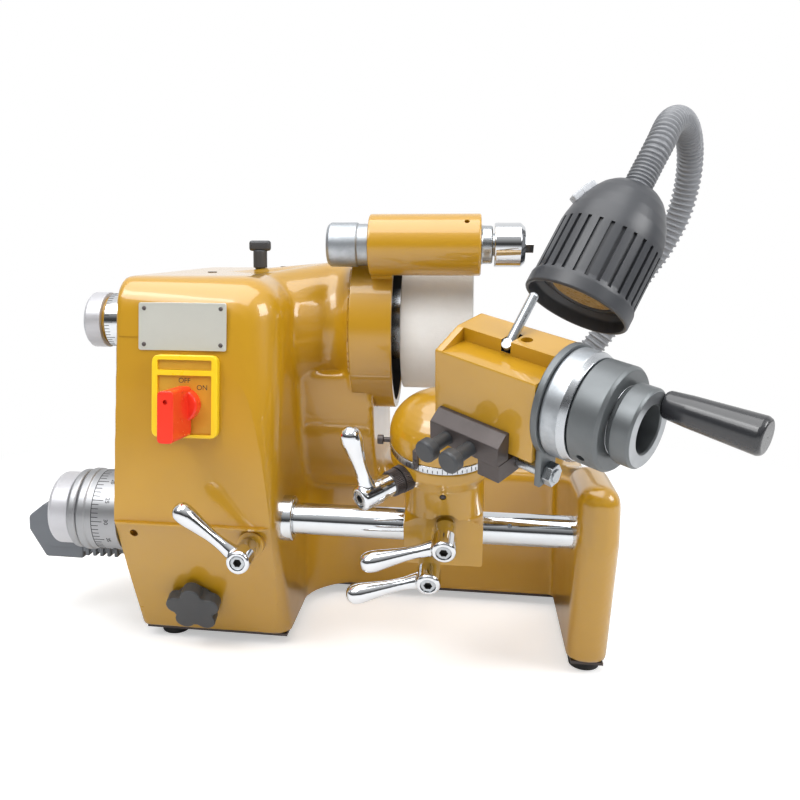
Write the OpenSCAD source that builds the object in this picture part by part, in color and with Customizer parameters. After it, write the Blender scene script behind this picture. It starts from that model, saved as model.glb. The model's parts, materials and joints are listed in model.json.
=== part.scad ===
// Bench tool and cutter grinder with a swinging work head on a guide bar.
// The origin lies on the floor below the wheel spindle axis, midway along the base.
// X runs along the wheel spindle towards the wheel, Y to the back and Z up.

/* [Casting] */
// Width of the base over the column and the pillar
base_w = 345; // [335:1:380]
// Depth of the base from front to back
base_d = 240; // [232:1:260]
// Width of the column
column_w = 116; // [112:1:124]
// Height of the column top above the floor
column_top_z = 280; // [276:1:290]
// Height of the crease in the front faces
crease_z = 109; // [106:1:114]
// Lean of the column front above the crease, in degrees
front_lean = 4.5; // [3:0.5:6]
// How far the foot of the column stands back from the crease
column_undercut = 45; // [40:1:50]
// How far the foot of the pillar stands back from the crease
pillar_undercut = 36; // [30:1:42]
// Wall of the casting
casting_wall = 10; // [8:0.5:12]
// Radius of the long casting edges
edge_r = 12; // [8:1:14]
// Radius of the crisp casting edges
crisp_r = 3; // [2:0.5:5]
// Radius of the top edges of the column
top_r = 22; // [18:1:26]
// Height of the deck at the back
deck_z = 118; // [114:1:124]
// Depth of the rear body
rear_d = 95; // [92:1:105]
// Width of the pillar
pillar_w = 28; // [26:1:36]
// Height of the pillar top above the floor
pillar_top_z = 146; // [140:1:156]
// Depth of the pillar at its top
pillar_d = 67; // [60:1:80]
// Radius of the hollow corner between the column and the rear body
corner_r = 45; // [35:1:55]
// Thickness of the bottom cover
cover_t = 2; // [1.5:0.5:3]
// Height of a rubber foot
foot_h = 8; // [6:1:12]
// Radius of a rubber foot
foot_r = 12; // [10:1:13]

/* [Wheel spindle] */
// Height of the spindle axis above the floor
spindle_z = 239; // [236:1:244]
// Radius of the grinding wheel
wheel_r = 50; // [45:1:52]
// Length of the grinding wheel
wheel_l = 53.5; // [50:0.5:60]
// Bore radius of the grinding wheel
wheel_bore_r = 10; // [9:0.5:12]
// Wall of the cup of the grinding wheel
wheel_wall = 12; // [8:1:14]
// Depth of the cup of the grinding wheel
wheel_cup = 40; // [34:1:42]
// Outer radius of the wheel guard
guard_r = 66; // [65:0.5:70]
// Wall of the wheel guard
guard_wall = 6; // [4:0.5:8]
// Length of the wheel guard
guard_l = 31; // [28:1:34]
// Outer radius of the spindle quill
quill_r = 24; // [22:0.5:26]
// Outer radius of a spindle bearing
bearing_r = 20; // [18:0.5:20]
// Width of a spindle bearing
bearing_w = 12; // [10:1:14]
// Radius of the spindle shaft
shaft_r = 8.5; // [7.5:0.5:9]
// Radius of the quill feed knob
quill_knob_r = 23; // [20:0.5:25]

/* [Drive] */
// Radius of the motor body
motor_r = 34; // [30:1:35]
// Length of the motor body
motor_l = 150; // [130:2:160]
// Radius of the motor pulley
motor_pulley_r = 30; // [26:1:32]
// Radius of the spindle pulley
spindle_pulley_r = 18; // [16:1:20]
// Width of the drive belt
belt_w = 18; // [14:1:20]
// Thickness of the drive belt
belt_t = 2.5; // [2:0.25:3]

/* [Guide bar and dial] */
// Radius of the guide bar
bar_r = 11; // [10:0.5:12]
// Distance of the bar axis behind the crease
bar_inset = 30; // [29:1:34]
// Height of the bar axis above the floor
bar_z = 107; // [105:1:110]
// Outer radius of the feed sleeve
sleeve_r = 16; // [15:0.5:17]
// Radius of the graduated feed barrel
barrel_r = 30; // [28:0.5:32]
// Length of the graduated feed barrel
barrel_l = 30; // [26:1:34]
// Radius of the feed knob
feed_knob_r = 26; // [22:0.5:27]
// Length of the feed knob
feed_knob_l = 15.5; // [14:0.5:20]

/* [Carriage] */
// Place of the carriage along the bar, right of the middle of the base
carriage_x = 57.5; // [50:0.5:64]
// Radius of the carriage neck
neck_r = 27; // [24:0.5:30]
// Swing of the arm towards the front, in degrees
arm_tilt = 18; // [15:1:21]
// Radius of the swivel table
table_r = 36; // [34:1:39]
// Height of the top of the swivel table above the bar axis
table_h = 66; // [62:1:70]
// Thickness of the swivel table
table_t = 20; // [18:1:24]
// Height of the graduated ring
ring_h = 5; // [4:0.5:7]
// Radius of a lever hub
hub_r = 8; // [7:0.5:9]
// Length of a lever hub
hub_l = 32; // [28:1:34]
// Length of a lever arm from hub to ball
arm_l = 49; // [44:1:52]
// Radius of a lever ball
ball_r = 7; // [6:0.5:8]

/* [Work head] */
// Height of the work axis above the bar axis
work_h = 131.5; // [128:0.5:136]
// Turn of the work axis towards the front, in degrees
work_turn = 37; // [33:1:40]
// Distance of the housing from the swivel axis
housing_x = 16; // [13:1:18]
// Length of the work head housing
housing_l = 69; // [66:1:76]
// Half width of the housing
housing_half_w = 29; // [28.5:0.5:31]
// Half height of the housing
housing_half_h = 29; // [28:0.5:31]
// Outer radius of the work spindle
spindle_r = 20; // [19:0.5:21]
// Bore radius of the work spindle
spindle_bore_r = 13.5; // [13:0.5:14.5]
// Shank radius that the collet holds
collet_bore_r = 6; // [4:0.5:8]
// Radius of the stop plate
plate_r = 33.5; // [32:0.5:35]
// Radius of the index ring
index_ring_r = 32; // [30:0.5:34]
// Length of the index ring
index_ring_l = 15; // [12:1:18]
// Radius of the index collar
index_collar_r = 30; // [28:0.5:31]
// Length of the index collar
index_collar_l = 18; // [15:1:22]
// Radius of the draw collar
draw_collar_r = 22.5; // [22:0.5:25]
// Length of the draw collar
draw_collar_l = 14; // [13:1:18]
// Radius of the crank handle
handle_r = 10.5; // [9:0.5:11]
// Length of the crank handle
handle_l = 52; // [46:1:60]

/* [Dresser] */
// Radius of the dresser sleeve
dresser_r = 22; // [20:0.5:23]
// Length of the dresser sleeve
dresser_l = 79; // [74:1:84]
// Radius of the dresser knob
dresser_knob_r = 16; // [14:0.5:18]
// Distance of the dresser axis from the spindle axis
dresser_reach = 85.5; // [84:0.5:88]
// Lean of the dresser to the front of the spindle, in degrees
dresser_lean = 42.5; // [38:0.5:46]

/* [Lamp] */
// Radius of the lamp rim
lamp_r = 37.5; // [37:0.5:39]
// Length of the lamp head
lamp_l = 98; // [96:1:102]
// Wall of the lamp head
lamp_wall = 2.5; // [2:0.25:3]
// Outer radius of the gooseneck ribs
hose_r = 10.25; // [9:0.25:11]
// Bore radius of the gooseneck
hose_bore_r = 6; // [5:0.25:6.5]
// Number of ribs on the gooseneck
hose_ribs = 96; // [60:2:120]

/* [Switch and plate] */
// Width of the switch frame
switch_w = 47; // [44:1:52]
// Height of the switch frame
switch_h = 57; // [54:1:62]
// Thickness of the switch frame
switch_t = 6; // [4:0.5:8]
// Radius of the switch knob
switch_knob_r = 11.5; // [11:0.5:14]
// Width of the name plate
plate_w = 63; // [56:1:68]
// Height of the name plate
plate_h = 33; // [28:1:34]

/* [Hidden] */
$fn = 64;

// Colours of the finishes
yellow_paint = "#C8951F";
dark_paint = "#3A3B3D";
bright_steel = "#C9CCD0";
light_alloy = "#B9BCC0";
red_plastic = "#E03A24";
switch_yellow = "#F2D024";

// Overrun of every cut, running clearance of a fit, and gap between pieces that pass each other
overrun = 1;
fit = 0.05;
gap = 0.3;
thin = 0.02;
loose = 0.1;
wide_gap = 1.2;

// Places of the casting
left_x = -base_w / 2;
right_x = base_w / 2;
front_y = -base_d / 2;
back_y = base_d / 2;
column_right_x = left_x + column_w;
cast_bottom_z = foot_h + cover_t;
rear_front_y = back_y - rear_d;
pillar_left_x = right_x - pillar_w;
bar_y = front_y + bar_inset;
guard_x = -14;
guard_end_x = guard_x + guard_l;

// Axis of the round of the top edge, which the leaning front runs into
top_axis_z = column_top_z - top_r;
top_axis_y = front_y + (top_axis_z - crease_z) * tan(front_lean) + top_r / cos(front_lean);

// Angle of the undercut face, from its foot to the crease
foot_y = front_y + column_undercut;
undercut_angle = atan2(column_undercut, crease_z - cast_bottom_z);
full_turn = 360;

// Turned pieces lie along X
module rod_x(x0, x1, r) {
  translate([x0, 0, 0])
    rotate([0, 90, 0])
      cylinder(h = x1 - x0, r = r);
}

module tube_x(x0, x1, r, bore) {
  difference() {
    rod_x(x0, x1, r);
    rod_x(x0 - overrun, x1 + overrun, bore);
  }
}

module cone_x(x0, x1, r0, r1) {
  translate([x0, 0, 0])
    rotate([0, 90, 0])
      cylinder(h = x1 - x0, r1 = r0, r2 = r1);
}

// A profile of radius and place along X, turned about X
module turned_x(points) {
  rotate([0, 90, 0])
    rotate_extrude()
      polygon(points);
}

// A profile of Y and Z, drawn out along X
module along_x(x0, x1) {
  translate([x0, 0, 0])
    rotate([90, 0, 90])
      linear_extrude(x1 - x0)
        children();
}

// A block between two corners
module block(low, high) {
  translate(low)
    cube(high - low);
}

// Points of an arc, from one angle to another
function arc(cx, cy, r, a0, a1, steps = 12) =
  [for (i = [0 : steps]) let (a = a0 + (a1 - a0) * i / steps) [cx + r * cos(a), cy + r * sin(a)]];

module at_spindle() {
  translate([0, 0, spindle_z])
    children();
}

module at_bar() {
  translate([0, bar_y, bar_z])
    children();
}

// The arm stands on the bar axis and swings about it
module at_arm(x = 0) {
  at_bar()
    rotate([arm_tilt, 0, 0])
      translate([x, 0, 0])
        children();
}

// The work head stands on the arm, with X along the work axis towards the handle
module at_head() {
  at_arm(carriage_x)
    rotate([0, 0, -work_turn])
      translate([0, 0, work_h])
        children();
}

// The leaning front face, with Y into the column
module at_front(x, up) {
  translate([x, front_y, crease_z])
    rotate([-front_lean, 0, 0])
      translate([0, 0, up])
        children();
}

// The undercut face below the crease, with Y into the column
module at_undercut(x, up) {
  translate([x, foot_y, cast_bottom_z])
    rotate([undercut_angle, 0, 0])
      translate([0, 0, up])
        children();
}

// Casting
quill_x0 = -112;
quill_nose = 6;
quill_x1 = guard_x + quill_nose;
pulley_margin = 4;
pulley_w = belt_w + pulley_margin * 2;
pulley_in = 22.5;
pulley_x0 = left_x + pulley_in;
pulley_x1 = pulley_x0 + pulley_w;
pocket_gap = 6;
head_r0 = 39;
head_r1 = 49.5;
flare_r = 17;
flare_root_share = 0.97;
pedestal_x = 2;
pedestal_top_y = -46;
pedestal_top_z = 205;
pedestal_low_z = 100;
pedestal_hollow_z = 160;
pedestal_back = 36;
hollow_top_z = 188;
pocket_low_z = 170;
pocket_back_y = 56;
boss_r = 12;
boss_h = 16;
foot_inset = 20;
screw_r = 3;
cut_w = 36;
cut_d = 30;
lock_x = -95.5;
lock_r = 4;
stud_r = 4;
lever_x = -74;
lever_z = 96.5;
lever_seat = 1.5;
star_x = -123;
star_up = 35;
motor_back = 48;
motor_y = back_y - motor_back;
motor_z = 60;
switch_x = -119.5;
switch_up = 89.6;
name_x = -123;
name_up = 137.4;
bar_end_gap = 14;
bar_end_x = right_x - bar_end_gap;
pillar_end_wall = 6;
pillar_bore_x = right_x - pillar_end_wall;
lamp_base_in = 28.5;
lamp_base_x = right_x - lamp_base_in;
lamp_base_y = 92;
foot_places = [
  [left_x + foot_inset, foot_y + foot_inset],
  [left_x + foot_inset, back_y - foot_inset],
  [right_x - pillar_w / 2, front_y + pillar_undercut + foot_inset],
  [right_x - foot_inset, back_y - foot_inset]
];

// Rounded column, or the hollow inside it when it is drawn in by a wall
module column_shape(inset = 0, top = column_top_z, bottom = cast_bottom_z) {
  x0 = left_x + inset;
  x1 = column_right_x - inset;
  hull($fn = 32) {
    for (p = [[x0 + crisp_r, crisp_r], [x1 - edge_r, edge_r]]) {
      translate([p.x, foot_y + inset + p.y, bottom])
        cylinder(h = thin, r = p.y);
      translate([p.x, back_y - inset - p.y, bottom])
        cylinder(h = thin, r = p.y);
      translate([p.x, front_y + inset + p.y, crease_z])
        cylinder(h = thin, r = p.y);
    }
    for (y = [top_axis_y + inset, back_y - inset - top_r])
      translate([0, y, top - top_r]) {
        rod_x(x0 + crisp_r, x1 - edge_r, top_r);
        rod_x(x0, x1, top_r - crisp_r);
      }
  }
}

module rear_shape() {
  x0 = left_x + edge_r;
  hull($fn = 32)
    for (x = [x0, right_x - edge_r], y = [rear_front_y + edge_r, back_y - edge_r]) {
      translate([x, y, cast_bottom_z])
        cylinder(h = thin, r = edge_r);
      translate([x, y, deck_z - edge_r])
        sphere(edge_r);
    }
}

module pillar_shape() {
  r = edge_r;
  mid = pillar_w / 2;
  hull($fn = 32)
    for (x = [pillar_left_x + r, right_x - r]) {
      translate([x, front_y + pillar_undercut + r, cast_bottom_z])
        cylinder(h = thin, r = r);
      translate([x, rear_front_y + mid, cast_bottom_z])
        cylinder(h = thin, r = r);
      translate([x, front_y + r, crease_z])
        sphere(r);
      translate([x, front_y + r, pillar_top_z - r])
        sphere(r);
      translate([x, front_y + pillar_d - r, pillar_top_z - r])
        sphere(r);
      translate([x, rear_front_y + mid, deck_z - r])
        sphere(r);
    }
}

// Hollow corner between the column side and the front of the rear body
module corner_shape() {
  translate([column_right_x - overrun, rear_front_y + overrun, cast_bottom_z])
    linear_extrude(deck_z - edge_r - cast_bottom_z)
      difference() {
        translate([0, -corner_r])
          square(corner_r);
        translate([corner_r, -corner_r])
          circle(corner_r);
      }
}

// Neck that flares to the wheel guard
module flare_shape() {
  at_spindle() {
    cone_x(neck_x0, guard_x, head_r0, head_r1);
    turned_x(concat([[0, guard_x - flare_r], [0, guard_x], [guard_r, guard_x]],
      arc(guard_r, guard_x - flare_r, flare_r, 90, 180),
      [[head_r1 * flare_root_share, guard_x - flare_r]]));
  }
}

// Pedestal that carries the neck on the rear body, hollow in front
module pedestal_shape() {
  run = rear_front_y - pedestal_top_y;
  rise = pedestal_top_z - pedestal_low_z;
  along_x(column_right_x - casting_wall, pedestal_x)
    polygon(concat([[back_y - pedestal_back, pedestal_top_z], [pedestal_top_y, pedestal_top_z]],
      [for (a = [10 : 10 : 90])
        [pedestal_top_y + run * (1 - cos(a)), pedestal_top_z - rise * sin(a)]],
      [[back_y - edge_r, pedestal_low_z]]));
}

module casting_hollow() {
  column_shape(casting_wall, hollow_top_z, cast_bottom_z - overrun);
  block([column_right_x - casting_wall * 2, rear_front_y + casting_wall, cast_bottom_z - overrun],
    [right_x - casting_wall, back_y - casting_wall, deck_z - casting_wall]);
  block([column_right_x - casting_wall * 2, rear_front_y + casting_wall, deck_z / 2],
    [pedestal_x - casting_wall, back_y - pedestal_back - casting_wall * 2, pedestal_hollow_z]);
  // Pocket of the belt and the spindle pulley
  at_spindle()
    rod_x(pulley_x0 - pocket_gap, pulley_x1 + pocket_gap,
      spindle_pulley_r + belt_t + pocket_gap);
  block([pulley_x0 - pocket_gap, -spindle_pulley_r - belt_t - pocket_gap, pocket_low_z],
    [pulley_x1 + pocket_gap, pocket_back_y, spindle_z]);
}

module base_casting() {
  color(yellow_paint)
    difference() {
      union() {
        difference() {
          union() {
            column_shape();
            rear_shape();
            corner_shape();
            flare_shape();
            pedestal_shape();
          }
          casting_hollow();
        }
        pillar_shape();
        for (p = foot_places)
          translate([p.x, p.y, cast_bottom_z])
            cylinder(h = boss_h, r = boss_r);
        translate([lever_x, front_y, lever_z])
          rotate([-90, 0, 0])
            cylinder(h = bar_inset / 2, r = hub_r + lever_seat);
      }
      // Seat of the wheel guard, and bores of the quill, the knob and the lock screw
      at_spindle() {
        rod_x(guard_x, guard_end_x + overrun, guard_r + thin);
        rod_x(pulley_x0, guard_x + overrun, quill_r + fit);
        rod_x(left_x - overrun, pulley_x0, spigot_out_r);
        translate([lock_x, 0, 0])
          cylinder(h = column_top_z, r = lock_r + loose);
      }
      // Bores of the feed sleeve and the far end of the bar
      at_bar() {
        rod_x(left_x - overrun, column_right_x + overrun, sleeve_r + fit);
        rod_x(pillar_left_x - overrun, pillar_bore_x, bar_r + gap);
      }
      translate([lever_x, front_y - overrun, lever_z])
        rotate([-90, 0, 0])
          cylinder(h = bar_inset, r = stud_r + loose);
      at_front(switch_x, switch_up)
        translate([-cut_w / 2, -edge_r, -cut_w / 2])
          cube([cut_w, edge_r + cut_d, cut_w]);
      at_undercut(star_x, star_up)
        translate([0, -edge_r, 0])
          rotate([-90, 0, 0])
            cylinder(h = edge_r + star_stud_l + overrun, r = stud_r + loose);
      for (p = foot_places)
        translate([p.x, p.y, cast_bottom_z - overrun])
          cylinder(h = boss_r + overrun, r = screw_r + fit);
    }
}

cover_inset = 3;

module bottom_cover() {
  z = foot_h;
  color(dark_paint)
    difference() {
      translate([0, 0, z])
        linear_extrude(cover_t)
          union() {
            translate([left_x + cover_inset, foot_y + cover_inset])
              square([column_w - cover_inset * 2, back_y - foot_y - cover_inset * 2]);
            translate([left_x + cover_inset, rear_front_y + cover_inset])
              square([base_w - cover_inset * 2, rear_d - cover_inset * 2]);
            translate([pillar_left_x + cover_inset, front_y + pillar_undercut + cover_inset])
              square([pillar_w - cover_inset * 2, base_d - pillar_undercut - cover_inset * 2]);
          }
      for (p = foot_places)
        translate([p.x, p.y, 0])
          cylinder(h = column_top_z, r = screw_r + gap);
    }
}

head_r = 5;
head_h = 3;
foot_taper_share = 0.88;

module feet() {
  color(dark_paint)
    for (p = foot_places)
      translate([p.x, p.y, 0])
        difference() {
          cylinder(h = foot_h, r1 = foot_r * foot_taper_share, r2 = foot_r);
          translate([0, 0, -overrun])
            cylinder(h = foot_h + overrun * 2, r = screw_r + gap);
          translate([0, 0, -overrun])
            cylinder(h = head_h + overrun * 2, r = head_r + gap);
        }
}

module foot_screws() {
  color(bright_steel)
    for (p = foot_places)
      translate([p.x, p.y, overrun]) {
        cylinder(h = head_h, r = head_r);
        cylinder(h = cast_bottom_z + boss_r - overrun * 3, r = screw_r);
      }
}

// Name plate and its rivets on the leaning front
name_t = 1;
rivet_r = 1.6;
rivet_inset = 4;
rivet_stem_r = 1;
rivet_places = [for (x = [-1, 1], z = [-1, 1])
  [x * (plate_w / 2 - rivet_inset), z * (plate_h / 2 - rivet_inset)]];

module name_plate() {
  color(light_alloy)
    at_front(name_x, name_up)
      difference() {
        translate([-plate_w / 2, -name_t, -plate_h / 2])
          cube([plate_w, name_t, plate_h]);
        for (p = rivet_places)
          translate([p.x, overrun, p.y])
            rotate([90, 0, 0])
              cylinder(h = name_t + overrun * 2, r = rivet_stem_r);
      }
}

module plate_rivets() {
  color(bright_steel)
    at_front(name_x, name_up)
      for (p = rivet_places)
        translate([p.x, -name_t, p.y])
          rotate([90, 0, 0])
            cylinder(h = name_t, r1 = rivet_r, r2 = rivet_stem_r);
}

// Wheel head
quill_clear = 4;
flange_in = 27;
flange_x = guard_x + flange_in;
flange_t = 9;
wheel_x = flange_x + flange_t;
wheel_end_x = wheel_x + wheel_l;
flange_r = 28;
nut_r = 16;
nut_l = 11;
nose_l = 3;
hub_share = 0.8;
washer_t = 3.3;
washer_r = 19;
nut_x = wheel_end_x - wheel_cup;

module wheel_guard() {
  color(yellow_paint)
    at_spindle()
      difference() {
        rod_x(guard_x, guard_end_x, guard_r);
        rod_x(guard_x + guard_wall, guard_end_x + overrun, guard_r - guard_wall);
        rod_x(guard_x - overrun, guard_x + guard_wall + overrun, quill_r + wide_gap);
      }
}

module quill() {
  color(bright_steel)
    at_spindle()
      difference() {
        rod_x(quill_x0, quill_x1, quill_r);
        rod_x(quill_x0 - overrun, quill_x1 + overrun, shaft_r + quill_clear);
        rod_x(quill_x0 - overrun, quill_x0 + bearing_w, bearing_r);
        rod_x(quill_x1 - bearing_w, quill_x1 + overrun, bearing_r);
      }
}

module spindle_bearings() {
  color(light_alloy)
    at_spindle()
      for (x = [quill_x0, quill_x1 - bearing_w])
        tube_x(x, x + bearing_w, bearing_r, shaft_r + fit);
}

module spindle_shaft() {
  color(bright_steel)
    at_spindle() {
      rod_x(pulley_x0, nut_x + nut_l + nose_l, shaft_r);
    }
}

module spindle_pulley() {
  color(light_alloy)
    at_spindle()
      tube_x(pulley_x0, pulley_x1, spindle_pulley_r, shaft_r);
}

module wheel_flange() {
  color(bright_steel)
    at_spindle()
      difference() {
        union() {
          rod_x(flange_x, wheel_x, flange_r);
          rod_x(wheel_x, wheel_x + (wheel_l - wheel_cup) * hub_share, wheel_bore_r - fit);
        }
        rod_x(flange_x - overrun, wheel_end_x, shaft_r);
      }
}

module grinding_wheel() {
  color("#ECECEA")
    at_spindle()
      difference() {
        rod_x(wheel_x, wheel_end_x, wheel_r);
        rod_x(wheel_end_x - wheel_cup, wheel_end_x + overrun, wheel_r - wheel_wall);
        rod_x(wheel_x - overrun, wheel_end_x, wheel_bore_r);
      }
}

module wheel_nut() {
  color(bright_steel)
    at_spindle()
      difference() {
        union() {
          rod_x(nut_x, nut_x + washer_t, washer_r);
          rod_x(nut_x, nut_x + nut_l, nut_r, $fn = 6);
        }
        rod_x(nut_x - overrun, nut_x + nut_l + overrun, shaft_r);
      }
}

quill_barrel_l = 49;
quill_groove_l = 3;
quill_grip_l = 15;
quill_step = 1;
quill_groove = 4;
quill_spigot_l = 12;
spigot_out_r = shaft_r + wide_gap;
quill_barrel_x = left_x - quill_barrel_l;
quill_knob_x = quill_barrel_x - quill_groove_l - quill_grip_l;

module quill_knob() {
  color(bright_steel)
    at_spindle() {
      rod_x(quill_barrel_x, left_x - gap, quill_knob_r - quill_step);
      rod_x(quill_barrel_x - quill_groove_l, quill_barrel_x, quill_knob_r - quill_groove);
      rod_x(quill_knob_x, quill_barrel_x - quill_groove_l, quill_knob_r);
      rod_x(quill_barrel_x, left_x + quill_spigot_l, spigot_out_r - fit);
    }
}

lock_head_w = 17.5;
lock_head_h = 7;
lock_head_d = 7;
lock_collar_r = 5.6;
lock_collar_h = 15;
neck_x0 = left_x + column_w / 4;
neck_top = head_r0 + (head_r1 - head_r0) * (lock_x - neck_x0) / (guard_x - neck_x0);
lock_seat = max(neck_top, column_top_z - spindle_z) + wide_gap;

module quill_lock_screw() {
  color(dark_paint)
    at_spindle()
      translate([lock_x, 0, 0]) {
        translate([0, 0, quill_r + gap])
          cylinder(h = lock_seat + lock_collar_h - quill_r - gap, r = lock_r);
        translate([0, 0, lock_seat])
          cylinder(h = lock_collar_h, r = lock_collar_r);
        translate([-lock_head_w / 2, -lock_head_d / 2, lock_seat + lock_collar_h])
          cube([lock_head_w, lock_head_d, lock_head_h]);
      }
}

// Drive
motor_gap = 46;
motor_x0 = pulley_x1 + motor_gap;
motor_nose_l = 6;
bracket_in = 20;
motor_shaft_r = 7;
motor_nose_share = 0.5;
motor_bore_share = 0.6;
motor_shaft_share = 0.5;
bracket_w = 40;
bracket_l = 90;

module at_motor() {
  translate([0, motor_y, motor_z])
    children();
}

module motor_body() {
  color(dark_paint)
    at_motor()
      difference() {
        union() {
          rod_x(motor_x0, motor_x0 + motor_l, motor_r);
          rod_x(motor_x0 - motor_nose_l, motor_x0, motor_r * motor_nose_share);
        }
        rod_x(motor_x0 - motor_nose_l - overrun, motor_x0 + motor_l * motor_bore_share,
          motor_shaft_r + fit);
      }
}

module motor_bracket() {
  x0 = motor_x0 + bracket_in;
  color(bright_steel)
    difference() {
      block([x0, motor_y - bracket_w / 2, cast_bottom_z],
        [x0 + bracket_l, motor_y + bracket_w / 2, motor_z]);
      at_motor()
        rod_x(x0 - overrun, x0 + bracket_l + overrun, motor_r + fit);
    }
}

module motor_shaft() {
  color(bright_steel)
    at_motor()
      rod_x(pulley_x0, motor_x0 + motor_l * motor_shaft_share, motor_shaft_r);
}

module motor_pulley() {
  color(light_alloy)
    at_motor()
      tube_x(pulley_x0, pulley_x1, motor_pulley_r, motor_shaft_r);
}

// Outline of a band round two pulleys, in Y and Z
belt_dy = -motor_y;
belt_dz = spindle_z - motor_z;
belt_dist = sqrt(belt_dy * belt_dy + belt_dz * belt_dz);
belt_steps = 40;

module band(extra) {
  r0 = motor_pulley_r + extra;
  r1 = spindle_pulley_r + extra;
  wrap = acos((r0 - r1) / belt_dist);
  translate([motor_y, motor_z])
    rotate(atan2(belt_dz, belt_dy))
      polygon(concat(arc(0, 0, r0, wrap, full_turn - wrap, belt_steps),
        arc(belt_dist, 0, r1, -wrap, wrap, belt_steps)));
}

module drive_belt() {
  x0 = pulley_x0 + (pulley_w - belt_w) / 2;
  color("#222222")
    along_x(x0, x0 + belt_w)
      difference() {
        band(gap + belt_t);
        band(gap);
      }
}

star_lobe_r = 7.5;
star_t = 12;
star_lobes = 5;
star_turn = 18;
star_stud_l = 20;
star_hub_r = 15;
star_lobe_at_r = 13;
star_lobe_z = 3;

module tension_knob() {
  color("#222222")
    at_undercut(star_x, star_up)
      rotate([90, 0, 0])
        translate([0, 0, gap]) {
          cylinder(h = star_t, r = star_hub_r);
          for (i = [0 : star_lobes - 1])
            rotate(i * full_turn / star_lobes + star_turn)
              translate([star_lobe_at_r, 0, star_lobe_z])
                cylinder(h = star_t - star_lobe_z, r = star_lobe_r);
          translate([0, 0, -star_stud_l])
            cylinder(h = star_stud_l, r = stud_r);
        }
}

// Switch
knob_t = 10;
grip_w = 11;
grip_l = 34;
grip_t = 28;
grip_low_share = 0.62;
spigot_bore_l = 10;
rim_w = 3;
label_drop = 2;
spigot_r = 5;
body_w = 34;
knob_drop = 5.5;

module switch_frame() {
  color(switch_yellow)
    at_front(switch_x, switch_up)
      difference() {
        translate([-switch_w / 2, -switch_t, -switch_h / 2])
          cube([switch_w, switch_t, switch_h]);
        translate([-switch_w / 2 + rim_w, -switch_t - overrun, -switch_h / 2 + rim_w])
          cube([switch_w - rim_w * 2, label_drop + overrun, switch_h - rim_w * 2]);
        translate([0, overrun, -knob_drop])
          rotate([90, 0, 0])
            cylinder(h = switch_t + overrun * 2, r = spigot_r + loose);
      }
}

module switch_knob() {
  color(red_plastic)
    at_front(switch_x, switch_up)
      translate([0, -switch_t + label_drop - gap, -knob_drop])
        rotate([90, 0, 0]) {
          cylinder(h = knob_t, r = switch_knob_r);
          translate([-grip_w / 2, -grip_l * grip_low_share, label_drop + gap])
            cube([grip_w, grip_l, knob_t + grip_t - label_drop - gap]);
          translate([0, 0, -switch_t])
            cylinder(h = switch_t, r = spigot_r);
        }
}

module switch_body() {
  color(dark_paint)
    at_front(switch_x, switch_up)
      difference() {
        translate([-body_w / 2, 0, -body_w / 2])
          cube([body_w, cut_d, body_w]);
        translate([0, -overrun, -knob_drop])
          rotate([-90, 0, 0])
            cylinder(h = spigot_bore_l + overrun, r = spigot_r + gap);
      }
}

inlet_y = -34;
inlet_z = 73;
inlet_w = 38;
inlet_h = 44;
inlet_l = 104;
inlet_grip_l = 46;
inlet_ribs = 5;
inlet_rib_t = 3;
inlet_chamfer = 14;
inlet_neck_h = 32;
inlet_rib_w = 42;
inlet_rib_h = 37;

module power_inlet() {
  color("#6E7278")
    translate([left_x, inlet_y, inlet_z]) {
      translate([-inlet_l + inlet_grip_l, 0, 0])
        block([0, -inlet_w / 2, -inlet_neck_h / 2],
          [inlet_l - inlet_grip_l, inlet_w / 2, inlet_neck_h / 2]);
      for (i = [0 : inlet_ribs - 1])
        translate([-inlet_l + inlet_grip_l + (i * 2 + 1) * inlet_rib_t, 0, 0])
          block([0, -inlet_rib_w / 2, -inlet_rib_h / 2],
            [inlet_rib_t, inlet_rib_w / 2, inlet_rib_h / 2]);
      translate([0, inlet_w / 2, 0])
        rotate([90, 0, 0])
          linear_extrude(inlet_w)
            polygon([[-inlet_l + inlet_grip_l, -inlet_h / 2], [-inlet_l + inlet_chamfer, -inlet_h / 2],
              [-inlet_l, 0], [-inlet_l, inlet_h / 4],
              [-inlet_l + inlet_chamfer, inlet_h / 2], [-inlet_l + inlet_grip_l, inlet_h / 2]]);
    }
}

// Guide bar and feed
sleeve_in = 16;
sleeve_out = 8;
sleeve_x0 = left_x - barrel_l + sleeve_in;
sleeve_end_x = column_right_x + sleeve_out;
knob_spigot_l = 8;
knob_nub_l = 4;
oil_hole_r = 1.5;
oil_hole_turn = 60;
oil_hole_x = 102;
flange_l = 8;
flange_extra = 3;

module guide_bar() {
  color(bright_steel)
    at_bar()
      difference() {
        rod_x(sleeve_x0, bar_end_x, bar_r);
        translate([oil_hole_x, 0, 0])
          rotate([oil_hole_turn, 0, 0])
            cylinder(h = bar_r * 2, r = oil_hole_r);
      }
}

module feed_sleeve() {
  color(light_alloy)
    at_bar()
      tube_x(sleeve_x0, sleeve_end_x, sleeve_r, bar_r + fit);
}

module feed_barrel() {
  color(light_alloy)
    at_bar()
      tube_x(left_x - barrel_l, left_x, barrel_r, sleeve_r + loose);
}

module feed_knob() {
  x1 = left_x - barrel_l - gap;
  color("#D4D5D8")
    at_bar() {
      rod_x(x1 - flange_l, x1, barrel_r - flange_extra / 2);
      rod_x(x1 - flange_l - feed_knob_l, x1 - flange_l, feed_knob_r);
      rod_x(x1 - flange_l - feed_knob_l - knob_nub_l, x1 - flange_l, stud_r);
      rod_x(x1, x1 + knob_spigot_l, sleeve_r + fit);
    }
}

// Clamping lever with its hub along -Y, standing on a stud
arm_root_r = 5.5;
arm_tip_r = 3.5;
arm_cant = 8;
socket_r = 4;
socket_d = 4;
stud_l = 10;

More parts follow.
